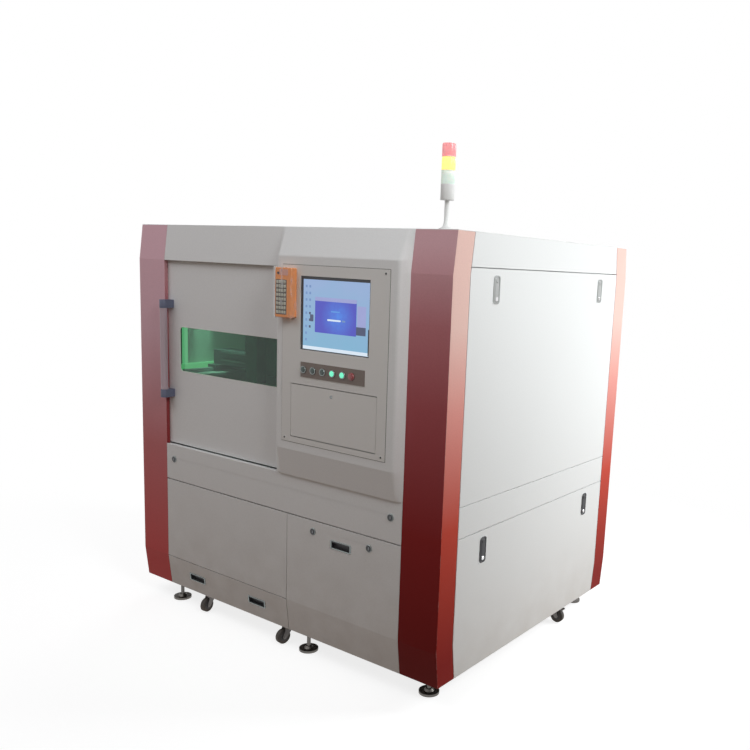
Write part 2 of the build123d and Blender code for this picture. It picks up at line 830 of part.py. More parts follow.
bar_x = door_left + handle_edge
bar_y = door_y - handle_out
bracket_z = (z_door[0] + handle_low, z_door[0] + handle_low + handle_pitch)
with BuildPart() as door_handle:
    for z in bracket_z:
        block(about(bar_x, bracket_w), (bar_y, door_y), about(z, bracket_h))
        with Locations((bar_x, bar_y, z)):
            Cylinder(bracket_w / 2, bracket_h)
    with Locations((bar_x, bar_y, (bracket_z[0] + bracket_z[1]) / 2)):
        Cylinder(handle_r, handle_pitch)
write(door_handle, "door_handle")

# Operator console: a folded housing that stands proud of the front
z_console = (z_base + band_top, z_cover)
console_x = (console_left, inner_x)
z_toe = z_base + band_top + console_toe
z_brow = z_top - console_brow
crown_y = y_front + setback(z_cover) - console_crown_out
toe_y = y_front - console_toe_out


def is_bend(edge, flange_x):
    """True for an edge beside a side flange, or for the long bend over the toe or under the brow."""
    start, end = edge.start_point(), edge.end_point()
    beside_flange = any(abs(start.X - x) < weld_gap and abs(end.X - x) < weld_gap for x in flange_x)
    long_bend = any(abs(start.Z - z) < weld_gap and abs(end.Z - z) < weld_gap for z in (z_toe, z_brow))
    return beside_flange or (long_bend and abs(start.X - end.X) > console_w / 2)


def console_form(inset, mode):
    """The housing's outer form, or the hollow inside it when set in by the sheet."""
    bottom = z_console[0] + inset
    top = z_console[1] - inset
    face = face_y + inset
    reach = y_front + post_fold + inset
    crown = [(crown_y + inset, top), (y_front + setback(z_cover) + inset, top)]
    behind = [(y_front + inset, z_crown), (reach, z_crown), (reach, bottom)]
    ahead = [(toe_y + inset, bottom), (face, z_toe), (face, z_brow)]
    with BuildSketch(Plane.YZ.offset(console_x[0])) as profile:
        with BuildLine():
            Polyline(*ahead, *crown, *behind, close=True)
        make_face()
    upright = extrude(profile.sketch, amount=console_x[1] - console_x[0], mode=Mode.PRIVATE)
    left, right = moved_in(console_x, inset)
    back = reach + post_d
    fronts = [(z_console[0], toe_y)]
    fronts += [(z, face_y) for z in (z_toe, z_crown, z_brow)]
    fronts += [(z_console[1], crown_y)]
    plans = []
    for z, front_edge in fronts:
        near = front_edge + inset
        foot = y_front + setback(z) + inset
        with BuildSketch(Plane.XY.offset(z)) as plan:
            with BuildLine():
                nose = [(left + console_edge, near), (right - console_edge, near)]
                Polyline((left, foot), *nose, (right, foot), (right, back), (left, back), close=True)
            make_face()
        plans.append(plan.sketch)
    form = upright & loft(plans, ruled=True, mode=Mode.PRIVATE)
    bends = [edge for edge in form.edges() if is_bend(edge, (left + console_edge, right - console_edge))]
    add(form.fillet(console_r - inset, bends), mode=mode)


plate_x = (plate_left, plate_left + plate_w)
plate_z = (z_plate, z_plate + plate_h)
through_face = (face_y - 1, face_y + 2 * sheet)
with BuildPart() as console_housing:
    console_form(0, Mode.ADD)
    console_form(sheet, Mode.SUBTRACT)
    block(moved_in(plate_x, plate_lap), through_face, moved_in(plate_z, plate_lap), Mode.SUBTRACT)
write(console_housing, "console_housing")

# Console plate with the openings for the screen, the buttons and the keyboard flap
screen_x = (plate_left + screen_left, plate_left + screen_left + screen_w)
screen_z = (z_plate + screen_low, z_plate + screen_low + screen_h)
strip_x = (plate_left + strip_left, plate_left + strip_left + strip_w)
strip_z = (z_plate + strip_low, z_plate + strip_low + strip_h)
strip_y = plate_y - sheet
barrel_r = button_r + button_gap + barrel_t
button_x = [strip_x[0] + offset for offset in button_offsets]
z_button = (strip_z[0] + strip_z[1]) / 2
flap_x = (plate_left + flap_left, plate_left + flap_left + flap_w)
flap_z = (z_plate + flap_low, z_plate + flap_low + flap_h)
hinge_y = face_y + hinge_pin_r + weld_gap
z_hinge = flap_z[0] + flap_sill + hinge_pin_r + weld_gap
through_plate = (plate_y - 1, face_y + 1)

with BuildPart() as console_plate:
    block(plate_x, (plate_y, face_y), plate_z)
    block(screen_x, through_plate, screen_z, Mode.SUBTRACT)
    block(flap_x, through_plate, flap_z, Mode.SUBTRACT)
    for x in button_x:
        with Locations(Plane(origin=(x, plate_y, z_button), z_dir=(0, -1, 0))):
            Cylinder(barrel_r + weld_gap, 4 * sheet, mode=Mode.SUBTRACT)
    for x in ((flap_x[0] - hinge_ear, flap_x[0]), (flap_x[1], flap_x[1] + hinge_ear)):
        block(x, (face_y, hinge_y + hinge_ear), about(z_hinge, 2 * hinge_ear))
    with Locations(Plane(origin=(flap_x[0] - 2 * hinge_ear, hinge_y, z_hinge), z_dir=(1, 0, 0))):
        pin_hole_r = hinge_pin_r + running_fit
        Cylinder(pin_hole_r, flap_w + 4 * hinge_ear, align=from_face, mode=Mode.SUBTRACT)
write(console_plate, "console_plate")

# Monitor behind its opening
with BuildPart() as monitor:
    block(moved_in(screen_x, -monitor_rim), (face_y, face_y + monitor_t), moved_in(screen_z, -monitor_rim))
    lit_x = (screen_x[0] + screen_bezel[0], screen_x[1] - screen_bezel[1])
    lit_z = (screen_z[0] + screen_bezel[2], screen_z[1] - screen_bezel[3])
    block(lit_x, (face_y - 1, face_y + screen_sunk), lit_z, Mode.SUBTRACT)
write(monitor, "monitor")

# Button strip with the bezels and barrels of its push buttons, and the six caps
into_face = (Align.CENTER, Align.CENTER, Align.MAX)
bore_r = button_r + button_gap
bore_l = ring_h + barrel_l - barrel_t
with BuildPart() as control_strip:
    block(strip_x, (strip_y, plate_y), strip_z)
    for x in button_x:
        with Locations(Plane(origin=(x, strip_y, z_button), z_dir=(0, -1, 0))):
            Cylinder(button_r + ring_w, ring_h, align=from_face)
            Cylinder(barrel_r, barrel_l, align=into_face)
        with Locations(Plane(origin=(x, strip_y - ring_h, z_button), z_dir=(0, -1, 0))):
            Cylinder(bore_r, bore_l, align=into_face, mode=Mode.SUBTRACT)
write(control_strip, "control_strip")
for number, x in enumerate(button_x, start=1):
    with BuildPart() as button:
        with Locations(Plane(origin=(x, strip_y - button_h, z_button), z_dir=(0, -1, 0))):
            Cylinder(button_r, button_stem, align=into_face)
        fillet(button.faces().sort_by(Axis.Y)[0].edges(), 1)
    write(button, f"button_{number}")

# Keyboard flap on two pins at its lower edge, and the keyboard on its inner side
flap_door_x = moved_in(flap_x, flap_gap)
flap_door_z = (flap_z[0] + flap_sill, flap_z[1] - flap_head_gap)
with BuildPart() as keyboard_flap:
    block(flap_door_x, (plate_y, plate_y + sheet + flap_fold), flap_door_z)
    inside_y = (plate_y + sheet, plate_y + sheet + flap_fold + 1)
    block(moved_in(flap_door_x, sheet), inside_y, moved_in(flap_door_z, sheet), Mode.SUBTRACT)
    left_pin = span(flap_door_x[0] + sheet, flap_x[0] - hinge_ear)
    right_pin = span(flap_door_x[1] - sheet, flap_x[1] + hinge_ear)
    for x in (left_pin, right_pin):
        with Locations(Plane(origin=(x[0], hinge_y, z_hinge), z_dir=(1, 0, 0))):
            Cylinder(hinge_pin_r, x[1] - x[0], align=from_face)
write(keyboard_flap, "keyboard_flap")

keyboard_mid = ((flap_x[0] + flap_x[1]) / 2, (flap_z[0] + flap_z[1]) / 2)
with BuildPart() as keyboard:
    base_y = (plate_y + sheet, plate_y + sheet + keyboard_base_t)
    block(about(keyboard_mid[0], keyboard_w), base_y, about(keyboard_mid[1], keyboard_h))
    base_centre = (keyboard_mid[0], base_y[1], keyboard_mid[1])
    with Locations(Plane(origin=base_centre, x_dir=(1, 0, 0), z_dir=(0, 1, 0))):
        with GridLocations(key_pitch, key_pitch, key_columns, key_rows):
            Box(key_w, key_w, keyboard_t - keyboard_base_t, align=from_face)
write(keyboard, "keyboard")

# Hand-held keypad that hangs on the plate
keypad_x = (console_left + keypad_left, console_left + keypad_left + keypad_w)
keypad_z = (z_plate + keypad_low, z_plate + keypad_low + keypad_h)
with BuildPart() as remote_keypad:
    block(keypad_x, (plate_y - keypad_t, plate_y), keypad_z)
    fillet(remote_keypad.edges().filter_by(Axis.Y), keypad_r)
    fillet(remote_keypad.faces().sort_by(Axis.Y)[0].edges(), keypad_edge)
write(remote_keypad, "remote_keypad")

# Chamber liner: separate sheets round the working space
liner_z = (z_base + chamber_low, z_ring[0] - sheet - liner_gap)
wall_y = (chamber_y[0] + sheet + liner_gap, chamber_y[1] - sheet - liner_gap)
part_wall_x = (console_left + console_edge, chamber_right)
back_plane = Plane(origin=(spigot_x, chamber_y[1], z_spigot), z_dir=(0, -1, 0))
with BuildPart() as chamber_liner:
    block((chamber_left, chamber_left + sheet), wall_y, liner_z)
    block((chamber_right - sheet, chamber_right), wall_y, liner_z)
    block((chamber_left, chamber_right), (chamber_y[1] - sheet, chamber_y[1]), liner_z)
    block(part_wall_x, (chamber_y[0], chamber_y[0] + sheet), liner_z)
    block((chamber_left, chamber_right), chamber_y, (z_ring[0] - sheet, z_ring[0]))
    with Locations(back_plane):
        Cylinder(spigot_r - spigot_t, 4 * sheet, mode=Mode.SUBTRACT)
write(chamber_liner, "chamber_liner")

# Bed: a ring of tubes with the linear rails of the gantry on upstands
bed_x = (chamber_left + bed_margin, chamber_right - bed_margin)
bed_y = (y_front + bed_front, half_d - bed_back)
z_bed = (z_base + chamber_low, z_slat)
rail_mid_x = (bed_x[0] + bed_side / 2, bed_x[1] - bed_side / 2)
z_flange = (z_base + rail_top - rail_flange_t, z_base + rail_top)
bed_bars = [hollow_tube((x, x + bed_side), bed_y, z_bed, 1) for x in (bed_x[0], bed_x[1] - bed_side)]
cross_x = (bed_x[0] + bed_side, bed_x[1] - bed_side)
bed_bars += [hollow_tube(cross_x, (y, y + bed_side), z_bed, 0) for y in (bed_y[0], bed_y[1] - bed_side)]
with BuildPart() as bed_rails:
    for x in rail_mid_x:
        block(about(x, rail_web_t), bed_y, (z_slat + weld_gap, z_flange[0] + 1))
        block(about(x, rail_flange_w), bed_y, z_flange)
        block(about(x, rail_w), bed_y, (z_flange[1] - 1, z_rail))
with BuildPart() as bed_frame:
    add(bed_bars + [bed_rails.part])
write(bed_frame, "bed_frame")

# Slag hopper under the bed, and the drawer below its mouth
def hopper_form(wall, mode):
    """A tapering duct between the rim under the bed and the mouth over the drawer."""
    rim_x = (bed_x[0] + hopper_lap, bed_x[1] - hopper_lap)
    rim_y = (bearer_y[1] + liner_gap, -bearer_y[1] - liner_gap)
    mouth_x = moved_in(tray_x, hopper_mouth_edge)
    mouth_y = (rim_y[0], tray_y[1] - hopper_mouth_end)
    rims = ((rim_x, rim_y, z_base + chamber_low), (mouth_x, mouth_y, z_base + hopper_low))
    sections = []
    for across, along, z in rims:
        with BuildSketch(Plane.XY.offset(z)) as rim:
            with Locations(((across[0] + across[1]) / 2, (along[0] + along[1]) / 2)):
                Rectangle(across[1] - across[0] - 2 * wall, along[1] - along[0] - 2 * wall)
        sections.append(rim.sketch)
    loft(sections, mode=mode)


with BuildPart() as slag_hopper:
    hopper_form(0, Mode.ADD)
    hopper_form(hopper_t, Mode.SUBTRACT)
write(slag_hopper, "slag_hopper")

# Toothed slats across the bed
slat_x = (rail_mid_x[0] + rail_web_t / 2 + slat_end_gap, rail_mid_x[1] - rail_web_t / 2 - slat_end_gap)
slat_span = bed_y[1] - bed_y[0] - bed_side
tooth_count = int((slat_x[1] - slat_x[0]) // tooth_pitch)
with BuildPart() as bed_slats:
    with BuildSketch(Plane.XZ) as slat_outline:
        z_valley = z_slat + slat_h - tooth_h
        tips = [(slat_x[0], z_valley)]
        for tooth in range(tooth_count):
            x = slat_x[0] + tooth * tooth_pitch
            tips += [(x + tooth_pitch / 2, z_slat + slat_h), (x + tooth_pitch, z_valley)]
        tips += [(slat_x[1], z_valley)]
        with BuildLine():
            Polyline((slat_x[0], z_slat), *tips, (slat_x[1], z_slat), close=True)
        make_face()
    slat = extrude(slat_outline.sketch, amount=slat_t / 2, both=True, mode=Mode.PRIVATE)
    with Locations((0, (bed_y[0] + bed_y[1]) / 2, 0)):
        with GridLocations(1, slat_span / (slat_count - 1), 1, slat_count):
            add(slat)
write(bed_slats, "bed_slats")

# Gantry: a hollow beam on two trucks that clasp the rails, with two guide strips on its front
z_beam = (z_rail + slide_gap + truck_h, z_rail + slide_gap + truck_h + gantry_h)
gantry_y_span = about(gantry_y, gantry_d)
beam_x = (rail_mid_x[0] - truck_w / 2, rail_mid_x[1] + truck_w / 2)
strip_centres = moved_in(z_beam, head_rail_inset)
with BuildPart() as gantry_beam:
    block(beam_x, gantry_y_span, z_beam)
    bore_y = moved_in(gantry_y_span, gantry_wall)
    block(moved_in(beam_x, -1), bore_y, moved_in(z_beam, gantry_wall), Mode.SUBTRACT)
    for x in rail_mid_x:
        block(about(x, truck_w), about(gantry_y, truck_l), (z_flange[1] + truck_lift, z_beam[0]))
        slot_x = about(x, rail_w + 2 * slide_gap)
        block(slot_x, about(gantry_y, truck_l + 2), (z_flange[1], z_rail + slide_gap), Mode.SUBTRACT)
    for z in strip_centres:
        guide_y = (gantry_y_span[0] - head_rail_t, gantry_y_span[0])
        block(moved_in(beam_x, truck_w), guide_y, about(z, head_rail_w))
write(gantry_beam, "gantry_beam")

# Head carriage on the beam's front, with the upright guide of the cutting head
carriage_y = (gantry_y_span[0] - carriage_gap - head_t, gantry_y_span[0] - carriage_gap)
carriage_z = (z_base + head_low, z_base + head_high)
with BuildPart() as head_carriage:
    block(about(head_x, head_w), carriage_y, carriage_z)
    groove_y = (gantry_y_span[0] - head_rail_t - slide_gap, gantry_y_span[0])
    for z in strip_centres:
        block(about(head_x, head_w + 2), groove_y, about(z, head_rail_w + 2 * slide_gap), Mode.SUBTRACT)
    block(about(head_x, head_rail_w), (carriage_y[0] - head_rail_t, carriage_y[0]), carriage_z)
write(head_carriage, "head_carriage")

# Cutting head: body, nozzle and the fibre's collimator
cutter_y = (carriage_y[0] - carriage_gap - cutter_d, carriage_y[0] - carriage_gap)
cutter_z = (z_base + cutter_low, z_base + cutter_high)
with BuildPart() as cutting_head:
    block(about(head_x, cutter_w), cutter_y, cutter_z)
    cutter_groove = (carriage_y[0] - head_rail_t - slide_gap, carriage_y[0])
    groove_z = moved_in(cutter_z, -1)
    block(about(head_x, head_rail_w + 2 * slide_gap), cutter_groove, groove_z, Mode.SUBTRACT)
    nozzle_y = (cutter_y[0] + cutter_groove[0]) / 2
    with Locations((head_x, nozzle_y, cutter_z[0])):
        Cone(nozzle_r / 3, nozzle_r * 2, nozzle_h, align=into_face)
    with Locations((head_x, nozzle_y, cutter_z[1])):
        Cylinder(collimator_r, collimator_h, align=from_face)
write(cutting_head, "cutting_head")

# Laser source and control cabinet on the floor beams
with BuildPart() as laser_source:
    source_front = front_beam_y[0] + base_tube_w - source_lap
    source_y = (source_front, source_front + source_d)
    block((bay_left, bay_right), source_y, (z_floor_beam, z_floor_beam + source_h))
    chamfer(laser_source.edges().filter_by(Axis.Z), case_edge)
write(laser_source, "laser_source")
with BuildPart() as control_cabinet:
    cabinet_y = (rear_beam_y[0] - source_lap - cabinet_d, rear_beam_y[0] - source_lap)
    block((cabinet_left, bay_right), cabinet_y, (z_floor_beam, z_floor_beam + cabinet_h))
    chamfer(control_cabinet.edges().filter_by(Axis.Z), case_edge)
write(control_cabinet, "control_cabinet")

# Signal tower
tower = (tower_x, y_front + tower_y)
z_pole = z_top + tower_pole_h
z_lens = z_pole + tower_base_h
with BuildPart() as tower_pole:
    for radius, z in ((tower_flange_r, (z_top, z_top + tower_flange_h)), (tower_pole_r, (z_top, z_pole))):
        with Locations((*tower, z[0])):
            Cylinder(radius, z[1] - z[0], align=from_face)
    with Locations((*tower, z_pole)):
        Cylinder(tower_r, tower_base_h, align=from_face)
write(tower_pole, "tower_pole")
with BuildPart() as tower_lenses:
    for tier in range(tower_tiers):
        with Locations((*tower, z_lens + tier * tier_h)):
            Cylinder(tower_r, tier_h - weld_gap, align=from_face)
write(tower_lenses, "tower_lenses")

# Levelling feet: pad, neck, stud and lock nut turned as one profile
with BuildSketch(Plane.XZ) as foot_profile:
    with BuildLine():
        pad = [(0, 0), (foot_r, 0), (foot_r, foot_h), (foot_r / 2, foot_h)]
        pad += [(nut_r, 2 * foot_h), (stud_r, 2 * foot_h)]
        nut = [(stud_r, z_frame - nut_h), (nut_r, z_frame - nut_h), (nut_r, z_frame), (0, z_frame)]
        Polyline(*pad, *nut, close=True)
    make_face()
foot = revolve(foot_profile.sketch, axis=Axis.Z)
with BuildPart() as levelling_feet:
    for x, y in foot_places:
        with Locations((x, y, 0)):
            add(foot)
write(levelling_feet, "levelling_feet")

# Swivel casters: fork with its kingpin and axle, and a wheel on the axle
z_axle = wheel_r + wheel_clear
z_fork = (z_caster - slide_gap - fork_disc_t, z_caster - slide_gap)
cheek_in = wheel_w / 2 + cheek_gap
cheek_out = cheek_in + cheek_t


def caster_plane(x, y, turn):
    """The upright plane through a caster's kingpin along its trail, with its Y upwards."""
    a = radians(turn)
    return Plane(origin=(x, y, 0), x_dir=(cos(a), sin(a), 0), z_dir=(sin(a), -cos(a), 0))


def caster_fork(x, y, turn, braked):
    """Two cheeks under a disc, the kingpin above it, the axle and, if braked, the pedal."""
    plane = caster_plane(x, y, turn)
    top = z_fork[0] + fork_disc_t / 2
    with BuildSketch(plane) as cheek:
        with BuildLine():
            z_end = z_axle - 2 * axle_r
            ahead = [(cheek_reach, top), (caster_trail + 2 * axle_r, z_axle)]
            ends = [(caster_trail + axle_r, z_end), (caster_trail - axle_r, z_end)]
            behind = [(-cheek_reach, z_fork[0] - fork_disc_t)]
            Polyline((-cheek_reach, top), *ahead, *ends, *behind, close=True)
        make_face()
    extrude(cheek.sketch, amount=cheek_out, both=True)
    extrude(cheek.sketch, amount=cheek_in, both=True, mode=Mode.SUBTRACT)
    with Locations((x, y, z_fork[0])):
        Cylinder(fork_disc_r, fork_disc_t, align=from_face)
        Cylinder(king_r, z_frame - weld_gap - slide_gap - z_fork[0], align=from_face)
    with BuildSketch(plane) as axle:
        with Locations((caster_trail, z_axle)):
            Circle(axle_r)
    extrude(axle.sketch, amount=cheek_out + 1, both=True)
    if braked:
        pedal_z = z_axle + wheel_r + wheel_clear + pedal_t / 2
        with BuildSketch(plane) as pedal:
            with Locations(((cheek_reach / 2 + pedal_end) / 2, pedal_z)):
                Rectangle(pedal_end - cheek_reach / 2, pedal_t)
        extrude(pedal.sketch, amount=cheek_out, both=True)


caster_names = ("front_left", "front_middle", "rear_right", "rear_left")
for (x, y, turn), name in zip(caster_places, caster_names):
    with BuildPart() as fork:
        caster_fork(x, y, turn, name.startswith("rear"))
    write(fork, name + "_caster_fork")
    with BuildPart() as wheel:
        with BuildSketch(caster_plane(x, y, turn)) as tyre:
            with Locations((caster_trail, z_axle)):
                Circle(wheel_r)
                Circle(axle_r + running_fit, mode=Mode.SUBTRACT)
        extrude(tyre.sketch, amount=wheel_w / 2, both=True)
    write(wheel, name + "_caster_wheel")
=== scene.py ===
"""Looks of the laser cutting machine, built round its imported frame.

Places are in metres: X to the right seen from the front, Y to the back, Z up from the floor.
Sizes of small pieces are in millimetres on a face of the machine, and become metres in on_face.
"""
import json
from math import radians

import bpy
import numpy as np
from mathutils import Matrix, Vector


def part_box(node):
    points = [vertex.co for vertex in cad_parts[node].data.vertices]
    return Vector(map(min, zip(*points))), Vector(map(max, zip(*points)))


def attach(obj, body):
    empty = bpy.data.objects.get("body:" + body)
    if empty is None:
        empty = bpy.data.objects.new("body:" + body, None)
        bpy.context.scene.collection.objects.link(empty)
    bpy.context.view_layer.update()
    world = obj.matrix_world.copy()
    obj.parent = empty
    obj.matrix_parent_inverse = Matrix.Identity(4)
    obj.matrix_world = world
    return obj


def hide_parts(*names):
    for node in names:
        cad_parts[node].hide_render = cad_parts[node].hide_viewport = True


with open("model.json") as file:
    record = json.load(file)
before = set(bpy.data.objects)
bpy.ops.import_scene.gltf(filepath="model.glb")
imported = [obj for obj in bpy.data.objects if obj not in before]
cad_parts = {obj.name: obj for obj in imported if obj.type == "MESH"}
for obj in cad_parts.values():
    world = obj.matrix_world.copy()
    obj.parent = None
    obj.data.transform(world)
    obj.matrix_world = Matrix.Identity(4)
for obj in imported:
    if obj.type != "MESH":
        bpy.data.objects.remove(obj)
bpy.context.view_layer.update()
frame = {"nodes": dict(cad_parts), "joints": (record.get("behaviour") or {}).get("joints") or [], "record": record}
nodes = frame["nodes"]
MM = 0.001

# Camera, solved from the cabinet's edges in a square picture
camera_place = (2.4876, -2.9572, 1.6079)
camera_turn = 34.442
camera_drop = 9.936
camera_roll = 2.764
camera_lens = 39.44
camera_shift = (-0.1174, 0.0503)

# Driving sizes that the small pieces share with the solids, in millimetres
sheet = 2.0
skirt_set = 18.0
skirt_h = 140.0
screen_rim = 9.0
screen_bezel = (11.5, 3.5, 3.5, 11.0)  # left, right, low, high
screen_sunk = 1.5
pull_half = (54.0, 17.0)
pull_hole = (48.0, 14.0)
pull_depth = 15.0
pull_inset_x = (200.0, 596.0)
pull_up = 72.0
service_pull_x = 296.5
service_pull_drop = 72.0
latch_half = (21.0, 51.0)
latch_hole = (16.0, 46.0)
latch_pivot = 33.0
ring_r = 14.0
handle_axis = 17.0
handle_bracket = 36.4
window_lap = 12.0
guide_drops = (16.0, 54.0)
guide_out = 53.0

# Sizes in metres: where the posts begin, how high they are, and the liner's sheet with a hair of room
post_foot = 0.086
post_height = 1.65
liner_wall = 0.0021


# Faces and outlines
def face_at(origin, right=(1, 0, 0), up=(0, 0, 1)):
    """A place on a surface: its origin in metres, then its right, up and outward directions."""
    right = np.array(right, float)
    up = np.array(up, float)
    up = up / np.linalg.norm(up)
    return np.array(origin, float), right, up, np.cross(right, up)


def moved(face, across=0.0, along=0.0, out=0.0):
    """The same face with its origin moved, in millimetres along the face's own directions."""
    origin, right, up, outward = face
    step = across * right + along * up + out * outward
    return origin + MM * step, right, up, outward


def on_face(face, points):
    """Points (right, up, out) in millimetres on a face, as points in metres."""
    origin, right, up, outward = face
    return origin + MM * (points @ np.stack([right, up, outward]))


def round_corners(half_w, half_h, radius, steps=6):
    """Points anticlockwise round a rectangle: each corner's centre plus its radius at every angle."""
    radius = min(radius, half_w, half_h)
    quarter = np.linspace(0, np.pi / 2, steps)
    angle = quarter + np.arange(4)[:, None] * np.pi / 2
    centre_x = (half_w - radius) * np.array([1, -1, -1, 1])[:, None]
    centre_y = (half_h - radius) * np.array([1, 1, -1, -1])[:, None]
    x = (centre_x + radius * np.cos(angle)).ravel()
    y = (centre_y + radius * np.sin(angle)).ravel()
    return np.stack([x, y], -1)


def stack(rings):
    """A closed skin over rings of points: quads between neighbours and a face over each end."""
    count, around, _ = rings.shape
    index = np.arange(count * around).reshape(count, around)
    ahead = np.roll(index, -1, axis=1)
    quads = np.stack([index[:-1], ahead[:-1], ahead[1:], index[1:]], -1).reshape(-1, 4)
    return rings.reshape(-1, 3), quads.tolist() + [index[0, ::-1].tolist(), index[-1].tolist()]


def pressed(face, frames, steps=6):
    """A form lofted through round-cornered frames, each (half width, half height, radius, out)."""
    rings = []
    for half_w, half_h, radius, out in frames:
        outline = round_corners(half_w, half_h, radius, steps)
        rings.append(np.column_stack([outline, np.full(len(outline), out)]))
    points, faces = stack(np.array(rings))
    return on_face(face, points), faces


def framed(face, frames, steps=6):
    """A ring pressed from a closed run of frames and left open in its middle."""
    points, faces = pressed(face, frames + [frames[0]], steps)
    return points, faces[:-2]


def turned(face, profile, around=40, ribs=0, rib_depth=0.0):
    """A form turned about the face's outward line: each (radius, out), less a ribbed wave of depth."""
    angle = np.linspace(0, 2 * np.pi, around, endpoint=False)
    wave = 1 - rib_depth * (0.5 - 0.5 * np.cos(ribs * angle))
    radius = np.array([r for r, out in profile])[:, None] * wave
    height = np.array([out for r, out in profile])[:, None] + 0 * angle
    rings = np.stack([radius * np.cos(angle), radius * np.sin(angle), height], -1)
    points, faces = stack(rings)
    return on_face(face, points), faces


def tile(half_w, half_h, low, high, radius=1.0, edge=0.15):
    """The frames of a flat plate with a small chamfer at its outer edge."""
    top = (half_w - edge, half_h - edge, max(radius - edge, 0.05), high)
    return [(half_w, half_h, radius, low), (half_w, half_h, radius, high - edge), top]


def put(name, data):
    """An object of its own for a mesh, a lamp or a camera, in the scene."""
    obj = bpy.data.objects.new(name, data)
    bpy.context.scene.collection.objects.link(obj)
    return obj


def piece(name, shapes, body, slot, material=None, replaces=()):
    """One mesh object made of skins, smooth but for its sharp edges, on its body, with the given finish or else
    its slot's finish.
    """
    points = np.concatenate([skin[0] for skin in shapes])
    faces = []
    start = 0
    for skin in shapes:
        faces += [[start + corner for corner in loop] for loop in skin[1]]
        start += len(skin[0])
    mesh = bpy.data.meshes.new(name)
    mesh.from_pydata(points.tolist(), [], faces)
    mesh.shade_smooth()
    mesh.set_sharp_from_angle(angle=radians(32))
    mesh.materials.append(material or finishes[slot])
    obj = put(name, mesh)
    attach(obj, body)
    if replaces:
        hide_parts(*replaces)


# Shader building
def add_node(tree, kind, values=None, **settings):
    """A shader node with its sockets set by name and its properties by keyword."""
    made = tree.nodes.new(kind)
    for label, value in settings.items():
        setattr(made, label, value)
    for label, value in (values or {}).items():
        made.inputs[label].default_value = value
    return made


def join(source, target):
    """A link between two sockets of one tree."""
    target.id_data.links.new(source, target)


def new_group(name, inputs, outputs):
    """A node group with its sockets, and the nodes that carry them inside."""
    group = bpy.data.node_groups.new(name, "ShaderNodeTree")
    for label, default in inputs.items():
        kind = "NodeSocketColor" if isinstance(default, tuple) else "NodeSocketFloat"
        group.interface.new_socket(label, in_out="INPUT", socket_type=kind).default_value = default
    for label in outputs:
        kind = "NodeSocketColor" if label == "Colour" else "NodeSocketFloat"
        group.interface.new_socket(label, in_out="OUTPUT", socket_type=kind)
    return group, add_node(group, "NodeGroupInput").outputs, add_node(group, "NodeGroupOutput").inputs


def maths(tree, operation, first, second=None, clamp=False):
    """A math node with two inputs, each a socket or a number, and its output."""
    made = add_node(tree, "ShaderNodeMath", operation=operation, use_clamp=clamp)
    for socket, value in zip(made.inputs, (first, second)):
        if isinstance(value, (int, float)):
            socket.default_value = value
        elif value is not None:
            join(value, socket)
    return made.outputs[0]


def about(tree, value, level, factor, clamp=False):
    """How far a value lies above a level, times a factor."""
    return maths(tree, "MULTIPLY", maths(tree, "SUBTRACT", value, level), factor, clamp)


def blend_colours(tree, mask, first, second):
    """A colour mix whose mask and colours are sockets or fixed values."""
    made = add_node(tree, "ShaderNodeMix", data_type="RGBA")
    for socket, value in ((made.inputs[0], mask), (made.inputs[6], first), (made.inputs[7], second)):
        if isinstance(value, (int, float, tuple)):
            socket.default_value = value
        else:
            join(value, socket)
    return made.outputs[2]


def split(tree, kind, output):
    """The X, Y and Z of a node's vector."""
    made = add_node(tree, "ShaderNodeSeparateXYZ")
    join(add_node(tree, kind).outputs[output], made.inputs[0])
    return made.outputs


def noise(tree, scale, detail=2.0, stretch=None):
    """A noise over the object's own coordinates, stretched if asked, and its value."""
    place = add_node(tree, "ShaderNodeTexCoord").outputs["Object"]
    if stretch:
        mapping = add_node(tree, "ShaderNodeMapping", {"Scale": stretch})
        join(place, mapping.inputs["Vector"])
        place = mapping.outputs["Vector"]
    made = add_node(tree, "ShaderNodeTexNoise", {"Detail": detail})
    join(place, made.inputs["Vector"])
    if isinstance(scale, (int, float)):
        made.inputs["Scale"].default_value = scale
    else:
        join(scale, made.inputs["Scale"])
    return made.outputs["Fac"]


def shaded(tree, colour, swing):
    """A colour made lighter or darker by a swing about zero."""
    made = add_node(tree, "ShaderNodeHueSaturation")
    join(colour, made.inputs["Color"])
    join(maths(tree, "ADD", swing, 1.0), made.inputs["Value"])
    return made.outputs["Color"]


def coat_grain():
    """Orange-peel grain of a baked coat: fine bumps, a mottled shade and an uneven gloss."""
    inputs = {"Colour": (0.8, 0.8, 0.8, 1), "Grain": 700.0, "Mottle": 0.05, "Gloss Spread": 0.08}
    group, given, made = new_group("coat grain", inputs, ("Colour", "Roughness", "Height"))
    fine = noise(group, given["Grain"], 3.0)
    speck = noise(group, maths(group, "MULTIPLY", given["Grain"], 0.3), 2.0)
    broad = noise(group, 1.7, 3.0)
    shade = maths(group, "ADD", maths(group, "MULTIPLY", speck, 1.4), maths(group, "MULTIPLY", broad, 0.6))
    swing = about(group, shade, 1.0, given["Mottle"])
    join(shaded(group, given["Colour"], swing), made["Colour"])
    gloss = about(group, broad, 0.5, given["Gloss Spread"])
    join(maths(group, "ADD", gloss, 0.5), made["Roughness"])
    join(fine, made["Height"])
    return group


